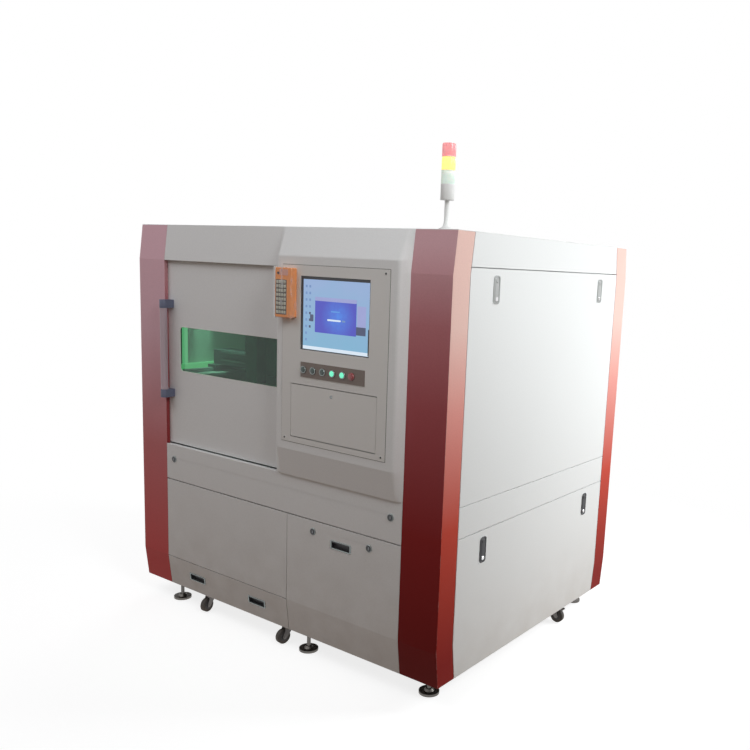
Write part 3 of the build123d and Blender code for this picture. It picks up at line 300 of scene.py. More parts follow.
def dust_and_floor_shade():
    """Dust on level faces and a darkening towards the floor, broken up by noise: partly dust and partly painted
    floor shade.
    """
    inputs = {"Colour": (0.8, 0.8, 0.8, 1), "Dust And Shade": (0.36, 0.30, 0.24, 1), "Reach": 0.35, "Amount": 0.4}
    group, given, made = new_group("settled dust", inputs, ("Colour",))
    depth = maths(group, "DIVIDE", split(group, "ShaderNodeTexCoord", "Object")["Z"], given["Reach"])
    low = maths(group, "POWER", maths(group, "SUBTRACT", 1.0, depth, clamp=True), 2.0)
    upward = split(group, "ShaderNodeNewGeometry", "Normal")["Z"]
    level = maths(group, "MULTIPLY", maths(group, "SUBTRACT", upward, 0.6, clamp=True), 0.5)
    patches = maths(group, "MULTIPLY", noise(group, 9.0, 5.0), 1.6)
    cover = maths(group, "MULTIPLY", maths(group, "ADD", low, level), patches)
    mask = maths(group, "MULTIPLY", cover, given["Amount"], clamp=True)
    join(blend_colours(group, mask, given["Colour"], given["Dust And Shade"]), made["Colour"])
    return group


def rubbed_edges():
    """Edges rubbed through the paint: where the rounded normal leaves the flat one, and noise agrees."""
    inputs = {"Colour": (0.8, 0.8, 0.8, 1), "Bare": (0.5, 0.5, 0.5, 1), "Amount": 0.5}
    group, given, made = new_group("rubbed edges", inputs, ("Colour",))
    rounded = add_node(group, "ShaderNodeBevel", {"Radius": 0.003}, samples=4)
    product = add_node(group, "ShaderNodeVectorMath", operation="DOT_PRODUCT")
    join(rounded.outputs["Normal"], product.inputs[0])
    join(add_node(group, "ShaderNodeNewGeometry").outputs["Normal"], product.inputs[1])
    turning = maths(group, "SUBTRACT", 1.0, product.outputs["Value"])
    edge = maths(group, "MULTIPLY", turning, 6.0, clamp=True)
    patches = about(group, noise(group, 28.0, 4.0), 0.46, 6.0, clamp=True)
    worn = maths(group, "MULTIPLY", edge, patches)
    mask = maths(group, "MULTIPLY", worn, given["Amount"], clamp=True)
    join(blend_colours(group, mask, given["Colour"], given["Bare"]), made["Colour"])
    return group


def drawn_lines():
    """Lines of a drawn or ground metal: noise stretched one way, as a shade, a gloss and a height."""
    inputs = {"Colour": (0.8, 0.8, 0.8, 1), "Contrast": 0.15, "Gloss": 0.3}
    group, given, made = new_group("drawn lines", inputs, ("Colour", "Roughness", "Height"))
    lines = noise(group, 60.0, 4.0, (1.0, 1.0, 22.0))
    swing = about(group, lines, 0.5, given["Contrast"])
    join(shaded(group, given["Colour"], swing), made["Colour"])
    join(maths(group, "ADD", swing, given["Gloss"]), made["Roughness"])
    join(lines, made["Height"])
    return group


GRAIN = coat_grain()
DUST_AND_SHADE = dust_and_floor_shade()
RUBBED = rubbed_edges()
LINES = drawn_lines()


def bare_material(name, **sockets):
    """A material with its Principled shader, whose fixed values sit on the shader's own sockets."""
    material = bpy.data.materials.new(name)
    material.use_nodes = True
    shader = material.node_tree.nodes["Principled BSDF"]
    for label, value in sockets.items():
        shader.inputs[label.replace("_", " ")].default_value = value
    return material, material.node_tree, shader


def use_group(tree, group, values, colour=None):
    """A placed group with its own values and, if given, a colour from another node."""
    made = add_node(tree, "ShaderNodeGroup", values, node_tree=group)
    if colour is not None:
        join(colour, made.inputs["Colour"])
    return made.outputs


def bumped(shader, height, strength, distance):
    """A bump from a height into the shader's normal."""
    bump = add_node(shader.id_data, "ShaderNodeBump", {"Strength": strength, "Distance": distance})
    join(height, bump.inputs["Height"])
    join(bump.outputs["Normal"], shader.inputs["Normal"])


def surfaced(shader, colour, roughness, height, strength, distance):
    """A colour, a roughness and a bump into the shader."""
    join(colour, shader.inputs["Base Color"])
    join(roughness, shader.inputs["Roughness"])
    bumped(shader, height, strength, distance)


def baked(shader, coat, worn, dust_and_shade):
    """A baked coat with rubbed edges, and dust with painted floor shade."""
    rubbed = use_group(shader.id_data, RUBBED, worn, coat["Colour"])
    dust_and_shade_colour = use_group(shader.id_data, DUST_AND_SHADE, dust_and_shade, rubbed["Colour"])
    surfaced(shader, dust_and_shade_colour["Colour"], coat["Roughness"], coat["Height"], 0.25, 0.0004)


primer = (0.55, 0.54, 0.52, 1)


def painted(name, colour, grain=700.0, mottle=0.06, dust_and_shade=0.35, reach=0.35, rub=0.25, bare=primer):
    """Baked textured paint: grain, rubbed edges, and a darkening towards the floor that is partly dust and partly
    painted floor shade.
    """
    material, tree, shader = bare_material(name)
    coat = use_group(tree, GRAIN, {"Colour": colour, "Grain": grain, "Mottle": mottle})
    baked(shader, coat, {"Bare": bare, "Amount": rub}, {"Amount": dust_and_shade, "Reach": reach})
    return material


def height_ramp(tree, height, stops):
    """A colour that runs through the stops: share of the post's height, then red, green, blue."""
    made = add_node(tree, "ShaderNodeValToRGB")
    join(height, made.inputs[0])
    marks = made.color_ramp.elements
    while len(marks) < len(stops):
        marks.new(0.5)
    for mark, (share, *colour) in zip(marks, stops):
        mark.position = share
        mark.color = (*colour, 1)
    return made.outputs["Color"]


# Painted light and shade down a post, from the skirt to the crown: share of the height, then the colour. The side
# ramp is the lit copy, the front ramp the shaded copy and the front-left ramp a pale painted haze; all darken
# towards the floor as painted shade and pale towards the roof as painted light.
side_lit_stops = [(0.05, 0.25, 0.008, 0.005), (0.36, 0.56, 0.070, 0.045)]
side_lit_stops += [(0.62, 0.80, 0.34, 0.30), (0.80, 0.88, 0.60, 0.54)]
front_shaded_stops = [(0.04, 0.15, 0.006, 0.005), (0.34, 0.26, 0.020, 0.020), (0.62, 0.40, 0.09, 0.10)]
front_shaded_stops += [(0.80, 0.52, 0.19, 0.21), (0.97, 0.72, 0.43, 0.47)]
front_left_haze_stops = [(0.05, 0.66, 0.10, 0.10), (0.40, 0.62, 0.20, 0.21), (0.72, 0.82, 0.52, 0.59)]


def post_paint_with_painted_light():
    """Red paint with painted light and shade: deep at the floor, paler at the roof, palest on the lit sides and in
    the painted haze at the front left.
    """
    material, tree, shader = bare_material("post paint with painted light", Specular_IOR_Level=0.08)
    place = split(tree, "ShaderNodeTexCoord", "Object")
    above = maths(tree, "SUBTRACT", place["Z"], post_foot)
    rise = maths(tree, "DIVIDE", above, post_height, clamp=True)
    facing = split(tree, "ShaderNodeNewGeometry", "Normal")
    side = maths(tree, "SIGN", place["X"])
    outward = maths(tree, "MULTIPLY", facing["X"], side, clamp=True)
    at_left = maths(tree, "LESS_THAN", place["X"], -0.5)
    ahead = maths(tree, "LESS_THAN", facing["Y"], -0.3)
    in_haze = maths(tree, "MULTIPLY", at_left, ahead)
    faces = (side_lit_stops, front_shaded_stops, front_left_haze_stops)
    lit_side, shaded_front, hazed_front_left = [height_ramp(tree, rise, stops) for stops in faces]
    # Painted light: the lit side ramp where a face turns outward, the hazed ramp on the front left post's front,
    # the shaded ramp on the other faces.
    lit_and_shaded_red = blend_colours(tree, outward, blend_colours(tree, in_haze, shaded_front, hazed_front_left), lit_side)
    coat = use_group(tree, GRAIN, {"Grain": 700.0, "Mottle": 0.10}, lit_and_shaded_red)
    baked(shader, coat, {"Bare": (0.72, 0.58, 0.55, 1), "Amount": 0.55}, {"Amount": 0.03})
    return material


def metal(name, colour, gloss, contrast=0.2, dust_and_shade=0.2):
    """Drawn or ground metal with fine lines and a little dust."""
    material, tree, shader = bare_material(name, Metallic=1.0)
    drawn = use_group(tree, LINES, {"Colour": colour, "Contrast": contrast, "Gloss": gloss})
    tint = {"Amount": dust_and_shade, "Dust And Shade": (0.30, 0.26, 0.22, 1), "Reach": 0.25}
    dust_and_shade_colour = use_group(tree, DUST_AND_SHADE, tint, drawn["Colour"])
    surfaced(shader, dust_and_shade_colour["Colour"], drawn["Roughness"], drawn["Height"], 0.15, 0.0002)
    return material


def moulded(name, colour, grain=1200.0, mottle=0.05, dust_and_shade=0.15, rough_shift=0.0, **sockets):
    """Moulded plastic or rubber with a fine grain."""
    material, tree, shader = bare_material(name, **sockets)
    coat = use_group(tree, GRAIN, {"Colour": colour, "Grain": grain, "Mottle": mottle})
    dust_and_shade_colour = use_group(tree, DUST_AND_SHADE, {"Amount": dust_and_shade, "Reach": 0.12}, coat["Colour"])
    roughness = maths(tree, "ADD", coat["Roughness"], rough_shift)
    surfaced(shader, dust_and_shade_colour["Colour"], roughness, coat["Height"], 0.2, 0.0002)
    return material


def glowing(name, colour, strength=1.0, mottle=0.04, cover=(0.02, 0.02, 0.02, 1)):
    """A lit surface: its glow varies softly over it under a smooth dark cover."""
    sockets = {"Base_Color": cover, "Roughness": 0.25, "Emission_Strength": strength}
    material, tree, shader = bare_material(name, **sockets)
    coat = use_group(tree, GRAIN, {"Colour": colour, "Grain": 90.0, "Mottle": mottle})
    join(coat["Colour"], shader.inputs["Emission Color"])
    return material


def clear_green():
    """Laser-safe acrylic: green glass that lets light into the chamber."""
    sockets = {"Base_Color": (0.22, 0.58, 0.36, 1), "IOR": 1.38, "Transmission_Weight": 1.0}
    material, tree, shader = bare_material("green acrylic", **sockets)
    join(maths(tree, "MULTIPLY", noise(tree, 6.0, 4.0), 0.06), shader.inputs["Roughness"])
    passing = add_node(tree, "ShaderNodeBsdfTransparent", {"Color": (0.35, 0.80, 0.48, 1)})
    mix = add_node(tree, "ShaderNodeMixShader")
    join(add_node(tree, "ShaderNodeLightPath").outputs["Is Shadow Ray"], mix.inputs["Fac"])
    join(shader.outputs["BSDF"], mix.inputs[1])
    join(passing.outputs["BSDF"], mix.inputs[2])
    join(mix.outputs["Shader"], tree.nodes["Material Output"].inputs["Surface"])
    return material


def scorched_steel():
    """Slats with heat marks and slag towards their teeth."""
    material, tree, shader = bare_material("scorched steel", Metallic=0.7)
    marks = noise(tree, 24.0, 5.0)
    colour = blend_colours(tree, marks, (0.09, 0.075, 0.065, 1), (0.42, 0.38, 0.34, 1))
    roughness = maths(tree, "ADD", maths(tree, "MULTIPLY", marks, 0.4), 0.35)
    surfaced(shader, colour, roughness, marks, 0.4, 0.001)
    return material


def sleeve_film():
    """A clear soft sleeve: mostly see-through, with creases that catch the light."""
    sockets = {"Base_Color": (0.93, 0.93, 0.94, 1), "IOR": 1.45, "Coat_Weight": 0.6}
    material, tree, shader = bare_material("clear sleeve", **sockets)
    creases = noise(tree, 38.0, 3.0, (1.0, 1.0, 0.35))
    ridges = about(tree, creases, 0.56, 2.2, clamp=True)
    join(maths(tree, "ADD", ridges, 0.07, clamp=True), shader.inputs["Alpha"])
    join(maths(tree, "MULTIPLY", creases, 0.3), shader.inputs["Roughness"])
    bumped(shader, creases, 0.8, 0.004)
    return material


def desktop_glow():
    """The lit desktop: pale lavender blue above, clearer blue below, with soft clouds."""
    sockets = {"Base_Color": (0.02, 0.02, 0.025, 1), "Roughness": 0.22, "Emission_Strength": 1.0}
    material, tree, shader = bare_material("lit desktop", **sockets)
    height = split(tree, "ShaderNodeTexCoord", "Object")["Z"]
    lift = about(tree, height, lit_low[2], 1 / (lit_high[2] - lit_low[2]))
    clouds = about(tree, noise(tree, 9.0, 3.0), 0.5, 0.7)
    share = maths(tree, "ADD", lift, clouds, clamp=True)
    colour = blend_colours(tree, share, (0.19, 0.41, 0.59, 1), (0.27, 0.39, 0.62, 1))
    join(colour, shader.inputs["Emission Color"])
    return material


def dialog_glow():
    """The dialog's violet blue, brighter in a soft round patch at its middle."""
    sockets = {"Base_Color": (0.02, 0.02, 0.03, 1), "Roughness": 0.22, "Emission_Strength": 1.0}
    material, tree, shader = bare_material("dialog blue", **sockets)
    offset = add_node(tree, "ShaderNodeVectorMath", operation="DISTANCE")
    join(add_node(tree, "ShaderNodeTexCoord").outputs["Object"], offset.inputs[0])
    patch_centre = lit_face[0] + (0.012, 0, -0.004)
    patch_reach = 0.085
    offset.inputs[1].default_value = tuple(patch_centre)
    patch = maths(tree, "DIVIDE", offset.outputs["Value"], patch_reach)
    near = maths(tree, "SUBTRACT", 1.0, patch, clamp=True)
    uneven = maths(tree, "MULTIPLY", near, maths(tree, "ADD", noise(tree, 60.0, 3.0), 0.4))
    colour = blend_colours(tree, uneven, (0.062, 0.070, 0.47, 1), (0.06, 0.22, 0.74, 1))
    join(colour, shader.inputs["Emission Color"])
    return material


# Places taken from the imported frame
def middle(low, high):
    """The middle of a box, in metres."""
    return [(first + last) / 2 for first, last in zip(low, high)]


def half_size(low, high):
    """Half the size of a box, in millimetres."""
    return [(last - first) / 2 / MM for first, last in zip(low, high)]


def front_of(name):
    """A face at the middle of a node's front."""
    low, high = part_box(name)
    across, _, height = middle(low, high)
    return face_at((across, low.y, height))


monitor_low, monitor_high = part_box("monitor")
face_y = monitor_low.y
rim_left, rim_right, rim_low, rim_high = [MM * (screen_rim + edge) for edge in screen_bezel]
lit_low = (monitor_low.x + rim_left, face_y, monitor_low.z + rim_low)
lit_high = (monitor_high.x - rim_right, face_y, monitor_high.z - rim_high)
lit_half = half_size(lit_low, lit_high)[::2]
lit_face = face_at(np.array(middle(lit_low, lit_high)) + (0, MM * screen_sunk, 0))
service_low, service_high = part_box("service_panel")
front_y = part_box("lower_left_panel")[0].y
rear_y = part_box("rear_posts")[1].y
floor_gap = service_low.z
wall_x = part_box("chamber_liner")[0].x + liner_wall

# Finishes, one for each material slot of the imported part
bare_blue = (0.34, 0.34, 0.38, 1)
finishes = {
    # The panel paint's darkening towards the floor is partly dust and partly painted floor shade.
    "panel": painted("panel paint", (0.82, 0.82, 0.82, 1), mottle=0.07, dust_and_shade=0.5, reach=0.9),
    "post_red": post_paint_with_painted_light(),
    "plate": painted("plate paint", (0.77, 0.755, 0.735, 1), grain=900.0, mottle=0.05),
    "frame": painted("frame paint", (0.24, 0.25, 0.27, 1), dust_and_shade=0.5),
    "liner": painted("liner paint", (0.52, 0.56, 0.54, 1), grain=500.0, dust_and_shade=0.3),
    "cases": painted("case paint", (0.50, 0.52, 0.54, 1), dust_and_shade=0.2),
    "green_acrylic": clear_green(),
    "handle": painted("bracket paint", (0.13, 0.145, 0.22, 1), mottle=0.15, rub=0.6, bare=bare_blue),
    "slats": scorched_steel(),
    "screen": moulded("screen bezel", (0.035, 0.035, 0.042, 1), rough_shift=-0.15),
    "strip": moulded("engraved strip", (0.19, 0.15, 0.13, 1), mottle=0.25),
    "caps_dark": moulded("dark caps", (0.012, 0.045, 0.036, 1), rough_shift=-0.3, Coat_Weight=0.5),
    "caps_green": glowing("lit green caps", (0.16, 0.80, 0.52, 1), 1.0, cover=(0.05, 0.35, 0.2, 1)),
    "caps_red": moulded("red cap", (0.34, 0.04, 0.045, 1), rough_shift=-0.3, Coat_Weight=0.5),
    "black_plastic": moulded("black plastic", (0.03, 0.03, 0.034, 1)),
    "keypad": moulded("keypad housing", (0.95, 0.34, 0.09, 1), mottle=0.12, rough_shift=-0.1),
    "tower_grey": moulded("tower grey", (0.84, 0.84, 0.83, 1)),
    "tower_lens": moulded("tower lens", (0.7, 0.1, 0.08, 1)),
    "chrome": metal("chrome", (0.78, 0.78, 0.79, 1), 0.12, contrast=0.08, dust_and_shade=0.05),
    "lever": metal("satin lever", (0.22, 0.23, 0.235, 1), 0.36, contrast=0.4, dust_and_shade=0.05),
    "zinc": metal("zinc plate", (0.34, 0.33, 0.33, 1), 0.36, dust_and_shade=0.4),
    "gantry": moulded("beam coat", (0.045, 0.05, 0.065, 1), rough_shift=0.1),
    "cutter": moulded("head coat", (0.03, 0.032, 0.042, 1), rough_shift=0.05),
    "fork": metal("fork steel", (0.13, 0.125, 0.125, 1), 0.42, dust_and_shade=0.3),
    "tyre": moulded("black rubber", (0.022, 0.022, 0.023, 1), mottle=0.3, dust_and_shade=0.45, rough_shift=0.2),
}
black = finishes["black_plastic"]
dark_chrome = metal("dark chrome", (0.20, 0.22, 0.215, 1), 0.24, contrast=0.1, dust_and_shade=0.05)


def dress(node, material):
    """Gives a CAD node its finish and small rounded edges."""
    for slot in node.material_slots:
        slot.material = material
    weld = node.modifiers.new("joined corners", "WELD")
    weld.merge_threshold = 0.00002
    bevel = node.modifiers.new("rounded edges", "BEVEL")
    bevel.width = 0.0006
    bevel.segments = 2
    bevel.angle_limit = radians(40)


# Side panels: a lit copy of the panel paint, a shade bluer and less darkened than the front's, as painted light;
# its darkening towards the floor is painted floor shade.
side_paint_painted_light = painted("side paint with painted light", (0.82, 0.835, 0.84, 1), mottle=0.05, dust_and_shade=0.32, reach=0.55)
side_paint_nodes = ["right_upper_panel", "right_lower_panel", "right_side_frame"]
side_paint_nodes += ["left_side_panels", "roof_panel", "rear_panel"]
own_finish = dict.fromkeys(side_paint_nodes, side_paint_painted_light)
own_finish["levelling_feet"] = metal("blackened steel", (0.10, 0.10, 0.10, 1), 0.38, dust_and_shade=0.4)
for part in frame["record"]["subparts"]:
    dress(nodes[part["node"]], own_finish.get(part["node"], finishes[part["material_slot"]]))


# Display: desktop, windows and icons of a plain generic kind
def icon_column(across):
    """Nine small square icons below each other on the display."""
    steps = np.linspace(0.80, -0.72, 9) * lit_half[1]
    return [pressed(moved(lit_face, across, up), tile(4.6, 4.6, 0.3, 0.5, 1.2, 0.1)) for up in steps]


def build_display():
    """The desktop, its dialog with a progress bar, a side window and two icon columns."""
    white = glowing("display white", (0.66, 0.76, 0.86, 1))
    lilac = glowing("window lilac", (0.30, 0.33, 0.60, 1), mottle=0.1)
    slate = glowing("window slate", (0.055, 0.07, 0.14, 1), mottle=0.3)
    faint = glowing("icon blue", (0.15, 0.26, 0.50, 1), mottle=0.3)
    caption = glowing("dialog bright", (0.09, 0.28, 0.66, 1), mottle=0.4)
    half_w, half_h = lit_half
    # Each tile: its middle across and up, half its width and height, how far out, finish, corner radius
    tiles = {
        "desktop": (0, 0, half_w - 0.3, half_h - 0.3, 0.02, desktop_glow(), 0.6),
        "taskbar": (0, 7 - half_h, half_w - 0.4, 6.2, 0.3, white, 0.6),
        "dialog": (0, 2, 104, 66, 0.3, dialog_glow(), 3.0),
        "dialog_title": (0, 61, 104, 7, 0.62, lilac, 3.0),
        "progress": (-6, -14, 34, 3.2, 0.9, white, 3.0),
        "progress_end": (42, -14, 9, 3.2, 0.9, faint, 3.0),
        "caption": (0, 18, 22, 2.2, 0.9, caption, 2.0),
        "side_window": (129, 6, 21, 40, 0.3, lilac, 1.5),
        "side_image": (127, -44, 23, 15, 0.62, slate, 1.5),
        "tool_image": (-121, -12, 9, 13, 0.3, slate, 3.0),
        "edge_shade": (half_w - 2.2, -0.62 * half_h, 2.2, 0.36 * half_h, 1.0, black, 0.6),
    }
    for name, (across, up, tile_w, tile_h, out, finish, radius) in tiles.items():
        skin = pressed(moved(lit_face, across, up), tile(tile_w, tile_h, out, out + 0.25, radius, 0.1))
        piece("screen_" + name, [skin], "machine", "screen", finish)
    outer, inner = [icon_column(across) for across in (-150, -131)]
    piece("screen_icons", outer + inner[:4], "machine", "screen", faint)
    piece("screen_icons_dark", inner[4:7], "machine", "screen", slate)


# Push buttons: dark bezels round domed lenses
def build_buttons():
    """A rounded bezel over each ring and a shallow dome on each cap."""
    rim = [(10.3, 0.2), (ring_r + 0.6, 0.2), (ring_r + 0.6, 3.0), (ring_r - 0.4, 4.4)]
    rim += [(12.0, 4.9), (10.4, 4.3), (10.3, 0.3)]
    dome = [(9.4, -0.5), (9.4, 0.1), (8.0, 0.7), (5.0, 1.15), (2.0, 1.3), (0.1, 1.32)]
    slots = ["caps_dark"] * 3 + ["caps_green"] * 2 + ["caps_red"]
    for number, slot in enumerate(slots, 1):
        cap_face = front_of(f"button_{number}")
        finish = finishes["caps_red"] if number == 6 else dark_chrome
        bezel = turned(moved(cap_face, out=-6.0), rim)
        piece(f"button_bezel_{number}", [bezel], "machine", "chrome", finish)
        piece(f"button_dome_{number}", [turned(cap_face, dome)], f"button_{number}_cap", slot)


# Flush pulls: a dark chrome rim and a black cup with a lip at its top
def build_pull(name, face, body):
    """A pressed rim over the sheet and a lined cup behind it."""
    half_w, half_h = pull_half
    hole_w, hole_h = pull_hole
    rim = [(half_w + 0.4, half_h + 0.4, 3.0, 0.1), (half_w + 0.4, half_h + 0.4, 3.0, 1.6)]
    rim += [(half_w - 1, half_h - 1, 2.6, 2.3), (hole_w + 0.6, hole_h + 0.2, 2.2, 2.3)]
    rim += [(hole_w - 0.6, hole_h - 0.6, 2.0, 1.6), (hole_w - 0.6, hole_h - 0.6, 2.0, 0.1)]
    piece(name + "_rim", [framed(face, rim)], body, "lever", dark_chrome)
    cup = [(hole_w - 0.2, hole_h - 0.2, 2.0, 0.2 - pull_depth), (hole_w - 0.2, hole_h - 0.2, 2.0, 0.5)]
    cup += [(hole_w - 0.9, hole_h - 0.9, 2.0, 0.5), (hole_w - 1.4, hole_h - 1.4, 3.0, 0.9 - pull_depth)]
    lip = pressed(moved(face, along=hole_h - 3.2, out=-1.2), tile(hole_w - 1.2, 2.6, -1.2, 1.2, 1.0, 0.5))
    piece(name + "_cup", [pressed(face, cup), lip], body, "black_plastic")


def build_pulls():
    """Two pulls on the leaning drawer front and one on the service cover."""
    lean = (0, -skirt_set, skirt_h)
    drawer_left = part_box("waste_drawer")[0].x
    depth = front_y + MM * skirt_set * (1 - pull_up / skirt_h)
    for name, across in zip(("drawer_pull_left", "drawer_pull_right"), pull_inset_x):
        place = (drawer_left + MM * (across + 1), depth, floor_gap + MM * pull_up)
        build_pull(name, face_at(place, up=lean), "drawer")
    place = (service_low.x + MM * service_pull_x, front_y, service_high.z - MM * service_pull_drop)
    build_pull("service_pull", face_at(place), "service")


# Quarter-turn locks
def build_locks():
    """A domed collar, a dark core and a bright key slot on each lock head."""
    collar = [(14.3, -2.9), (14.3, -0.6), (13.2, 0.5), (9.8, 0.8), (9.2, 0.0), (0.1, -0.1)]
    core = [(12.2, 0.3), (12.2, 1.1), (11.4, 1.5), (0.1, 1.6)]
    for name in ("band_left_lock", "band_right_lock", "service_left_lock", "service_right_lock"):
        low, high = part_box(name)
        place = face_at(((low.x + high.x) / 2, low.y, high.z - (high.x - low.x) / 2))
        barrel = name + "_barrel"
        piece(name + "_collar", [turned(place, collar)], barrel, "chrome", dark_chrome)
        piece(name + "_core", [turned(place, core)], barrel, "black_plastic")
        slot = pressed(moved(place, across=1.0, out=1.6), tile(1.6, 5.6, -0.2, 0.12, 1.4, 0.05))
        piece(name + "_key_slot", [slot], barrel, "lever")


# Screws, and the small trim among them
def screw(face, radius=4.0):
    """A raised screw head with a socket."""
    profile = [(radius, 0.0), (radius, 1.0), (radius * 0.8, 1.7), (radius * 0.42, 1.8), (radius * 0.42, 0.9)]
    return turned(face, profile + [(0.1, 0.9)], 20)


def build_screws():
    """Screws round the console plate, the roof and the rear cover, the plate's seal and the flap's lock."""
    low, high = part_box("console_plate")
    flap_low, flap_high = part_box("keyboard_flap")
    plate_y = flap_low.y
    inset_x = 18 * MM
    inset_z = 14 * MM
    corners = []
    washers = []
    for across in (low.x + inset_x, high.x - inset_x):
        for height in (low.z + inset_z, high.z - inset_z):
            place = face_at((across, plate_y, height))
            corners.append(screw(moved(place, out=0.5), 3.8))
            washers.append(turned(place, [(6.6, 0.05), (6.6, 0.5), (6.0, 0.8), (0.1, 0.8)], 24))
    piece("plate_screws", corners, "machine", "black_plastic")
    piece("plate_washers", washers, "machine", "plate")
    centre_x, _, centre_z = middle(low, high)
    half_w, _, half_h = half_size(low, high)
    seal = [(half_w + 0.3, half_h + 0.3, 1.2, 0.05), (half_w + 2.3, half_h + 2.3, 2.6, 0.05)]
    seal += [(half_w + 2.1, half_h + 2.1, 2.4, 0.55), (half_w + 0.3, half_h + 0.3, 1.2, 0.55)]
    grey_seal = moulded("grey seal", (0.16, 0.145, 0.13, 1))
    piece("plate_seal", [framed(face_at((centre_x, face_y, centre_z)), seal)], "machine", "plate", grey_seal)
    lock_left = 5 * MM
    lock_drop = 27 * MM
    place = face_at(((flap_low.x + flap_high.x) / 2 - lock_left, plate_y, flap_high.z - lock_drop))
    ring = turned(place, [(6.2, 0.05), (6.2, 0.9), (5.4, 1.4), (3.6, 1.4), (3.2, 0.8), (0.1, 0.8)], 28)
    piece("flap_lock", [ring], "flap", "lever")
    low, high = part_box("rear_panel")
    across = np.linspace(low.x + 0.05, high.x - 0.05, 5)
    places = [(x, rear_y, z) for x in across for z in (0.30, 1.52)]
    piece("rear_screws", [screw(face_at(place, right=(-1, 0, 0))) for place in places], "machine", "zinc")
    low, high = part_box("roof_panel")
    across = np.linspace(low.x + 0.06, high.x - 0.06, 5)
    places = [(x, y, high.z) for x in across for y in (low.y + 0.04, high.y - 0.04)]
    piece("roof_screws", [screw(face_at(place, up=(0, 1, 0))) for place in places], "machine", "zinc")


# Side latches: a pressed rim, a lever with a pivot boss and a chrome push button
def build_latches():
    """The rim, bar, boss and button of the four latches on the right side."""
    satin_grey = moulded("satin grey", (0.42, 0.43, 0.43, 1), rough_shift=-0.1, dust_and_shade=0.0)
    half_w, half_h = latch_half
    hole_w, hole_h = latch_hole
    rim = [(half_w + 0.4, half_h + 0.4, 12.0, 0.1), (half_w + 0.4, half_h + 0.4, 12.0, 1.6)]
    rim += [(half_w - 1, half_h - 1, 11.0, 2.6), (hole_w + 0.6, hole_h + 0.6, 9.0, 2.6)]
    rim += [(hole_w - 0.4, hole_h - 0.4, 8.0, 1.4), (hole_w - 0.4, hole_h - 0.4, 8.0, 0.1)]
    bar = [(14.4, 44.4, 6.0, 0.1), (14.4, 44.4, 6.0, 1.0), (13.0, 43.0, 6.0, 2.2), (9.0, 40.0, 5.0, 2.8)]
    boss = [(9.0, 1.5), (9.0, 3.6), (7.6, 4.6), (0.1, 4.8)]
    button = [(8.5, 7.5, 7.0, 1.5), (8.5, 7.5, 7.0, 3.6), (7.0, 6.0, 5.5, 4.6)]
    for level, tone, slot in (("upper", satin_grey, "lever"), ("lower", black, "black_plastic")):
        for end in ("front", "rear"):
            name = f"{level}_{end}_latch"
            low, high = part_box(name)
            _, depth, height = middle(low, high)
            centre = face_at((high.x, depth, height), right=(0, 1, 0))
            piece(name + "_rim", [framed(centre, rim)], level + "_side", slot, tone)
            skins = [pressed(centre, bar), turned(moved(centre, along=latch_pivot), boss)]
            piece(name + "_bar", skins, name + "_lever", slot, tone)
            skin = pressed(moved(centre, along=-latch_pivot), button)
            piece(name + "_button", [skin], name + "_lever", "chrome")


# Hand-held keypad: dark key field, keys, a label place and a clear sleeve
def build_keypad():
    """Keys in four columns of eight on the orange housing, in its sleeve."""
    half_w, half_t, half_h = half_size(*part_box("remote_keypad"))
    front = front_of("remote_keypad")
    field = moved(front, across=-9.5, along=-17.0)
    well = pressed(field, tile(29.0, 66.0, -0.5, 0.8, 3.0, 0.4))
    piece("keypad_field", [well], "machine", "black_plastic", moulded("key field", (0.10, 0.09, 0.075, 1)))
    key = [(5.0, 5.6, 1.6, 0), (4.8, 5.4, 1.6, 1.6), (4.0, 4.6, 1.4, 2.2)]
    columns = np.linspace(-20.5, 20.5, 4)
    rows = np.linspace(-57.0, 57.0, 8)
    keys = [pressed(moved(field, across, along, 0.8), key, 4) for across in columns for along in rows]
    grey = moulded("keypad keys", (0.60, 0.59, 0.50, 1), mottle=0.2)
    piece("keypad_keys", keys, "machine", "black_plastic", grey)
    label = pressed(moved(front, across=3.0, along=76.0), tile(24.0, 11.5, -0.4, 0.5, 3.0, 0.3))
    pink = moulded("keypad label", (0.80, 0.42, 0.34, 1), mottle=0.3)
    piece("keypad_label", [label], "machine", "keypad", pink)
    cap = [(4.8, -0.4), (4.8, 2.6), (3.8, 3.4), (0.1, 3.5)]
    knob = turned(moved(front, across=-25.0, along=73.0), cap, 24)
    piece("keypad_knob", [knob], "machine", "black_plastic")
    shell = [(half_w + 0.6, half_h + 0.8, 7.0, 1.0 - 2 * half_t), (half_w + 1.4, half_h + 2.4, 8.0, -half_t)]
    shell += [(half_w + 1.2, half_h + 2.0, 8.0, 0.5), (half_w - 1.0, half_h - 1.0, 7.0, 3.6)]
    shell += [(half_w - 8.0, half_h - 8.0, 6.0, 4.2)]
    piece("keypad_sleeve", [pressed(front, shell)], "machine", "keypad", sleeve_film())
    # Painted highlight: a pale opaque strip down the sleeve's left edge stands in for glare on the clear film.
    glare = moulded("sleeve glare", (0.80, 0.80, 0.80, 1), rough_shift=-0.3, Coat_Weight=0.8)
    glare_strip = pressed(moved(front, across=-half_w - 1.0, out=-3.0), tile(3.4, half_h + 3.0, -6.0, 7.0, 2.4, 1.0))
    piece("keypad_sleeve_glare", [glare_strip], "machine", "keypad", glare)


# Signal tower: ribbed lenses, the joints between them and a conical foot
def lens_material(name, colour, strength):
    """A ribbed plastic lens whose tint also glows at the given strength."""
    sockets = {"Roughness": 0.2, "Emission_Strength": strength, "Coat_Weight": 0.4, "Subsurface_Weight": 0.2}
    material, tree, shader = bare_material(name, **sockets)
    coat = use_group(tree, GRAIN, {"Colour": colour, "Grain": 300.0, "Mottle": 0.15})
    for label in ("Base Color", "Emission Color"):
        join(coat["Colour"], shader.inputs[label])
    return material


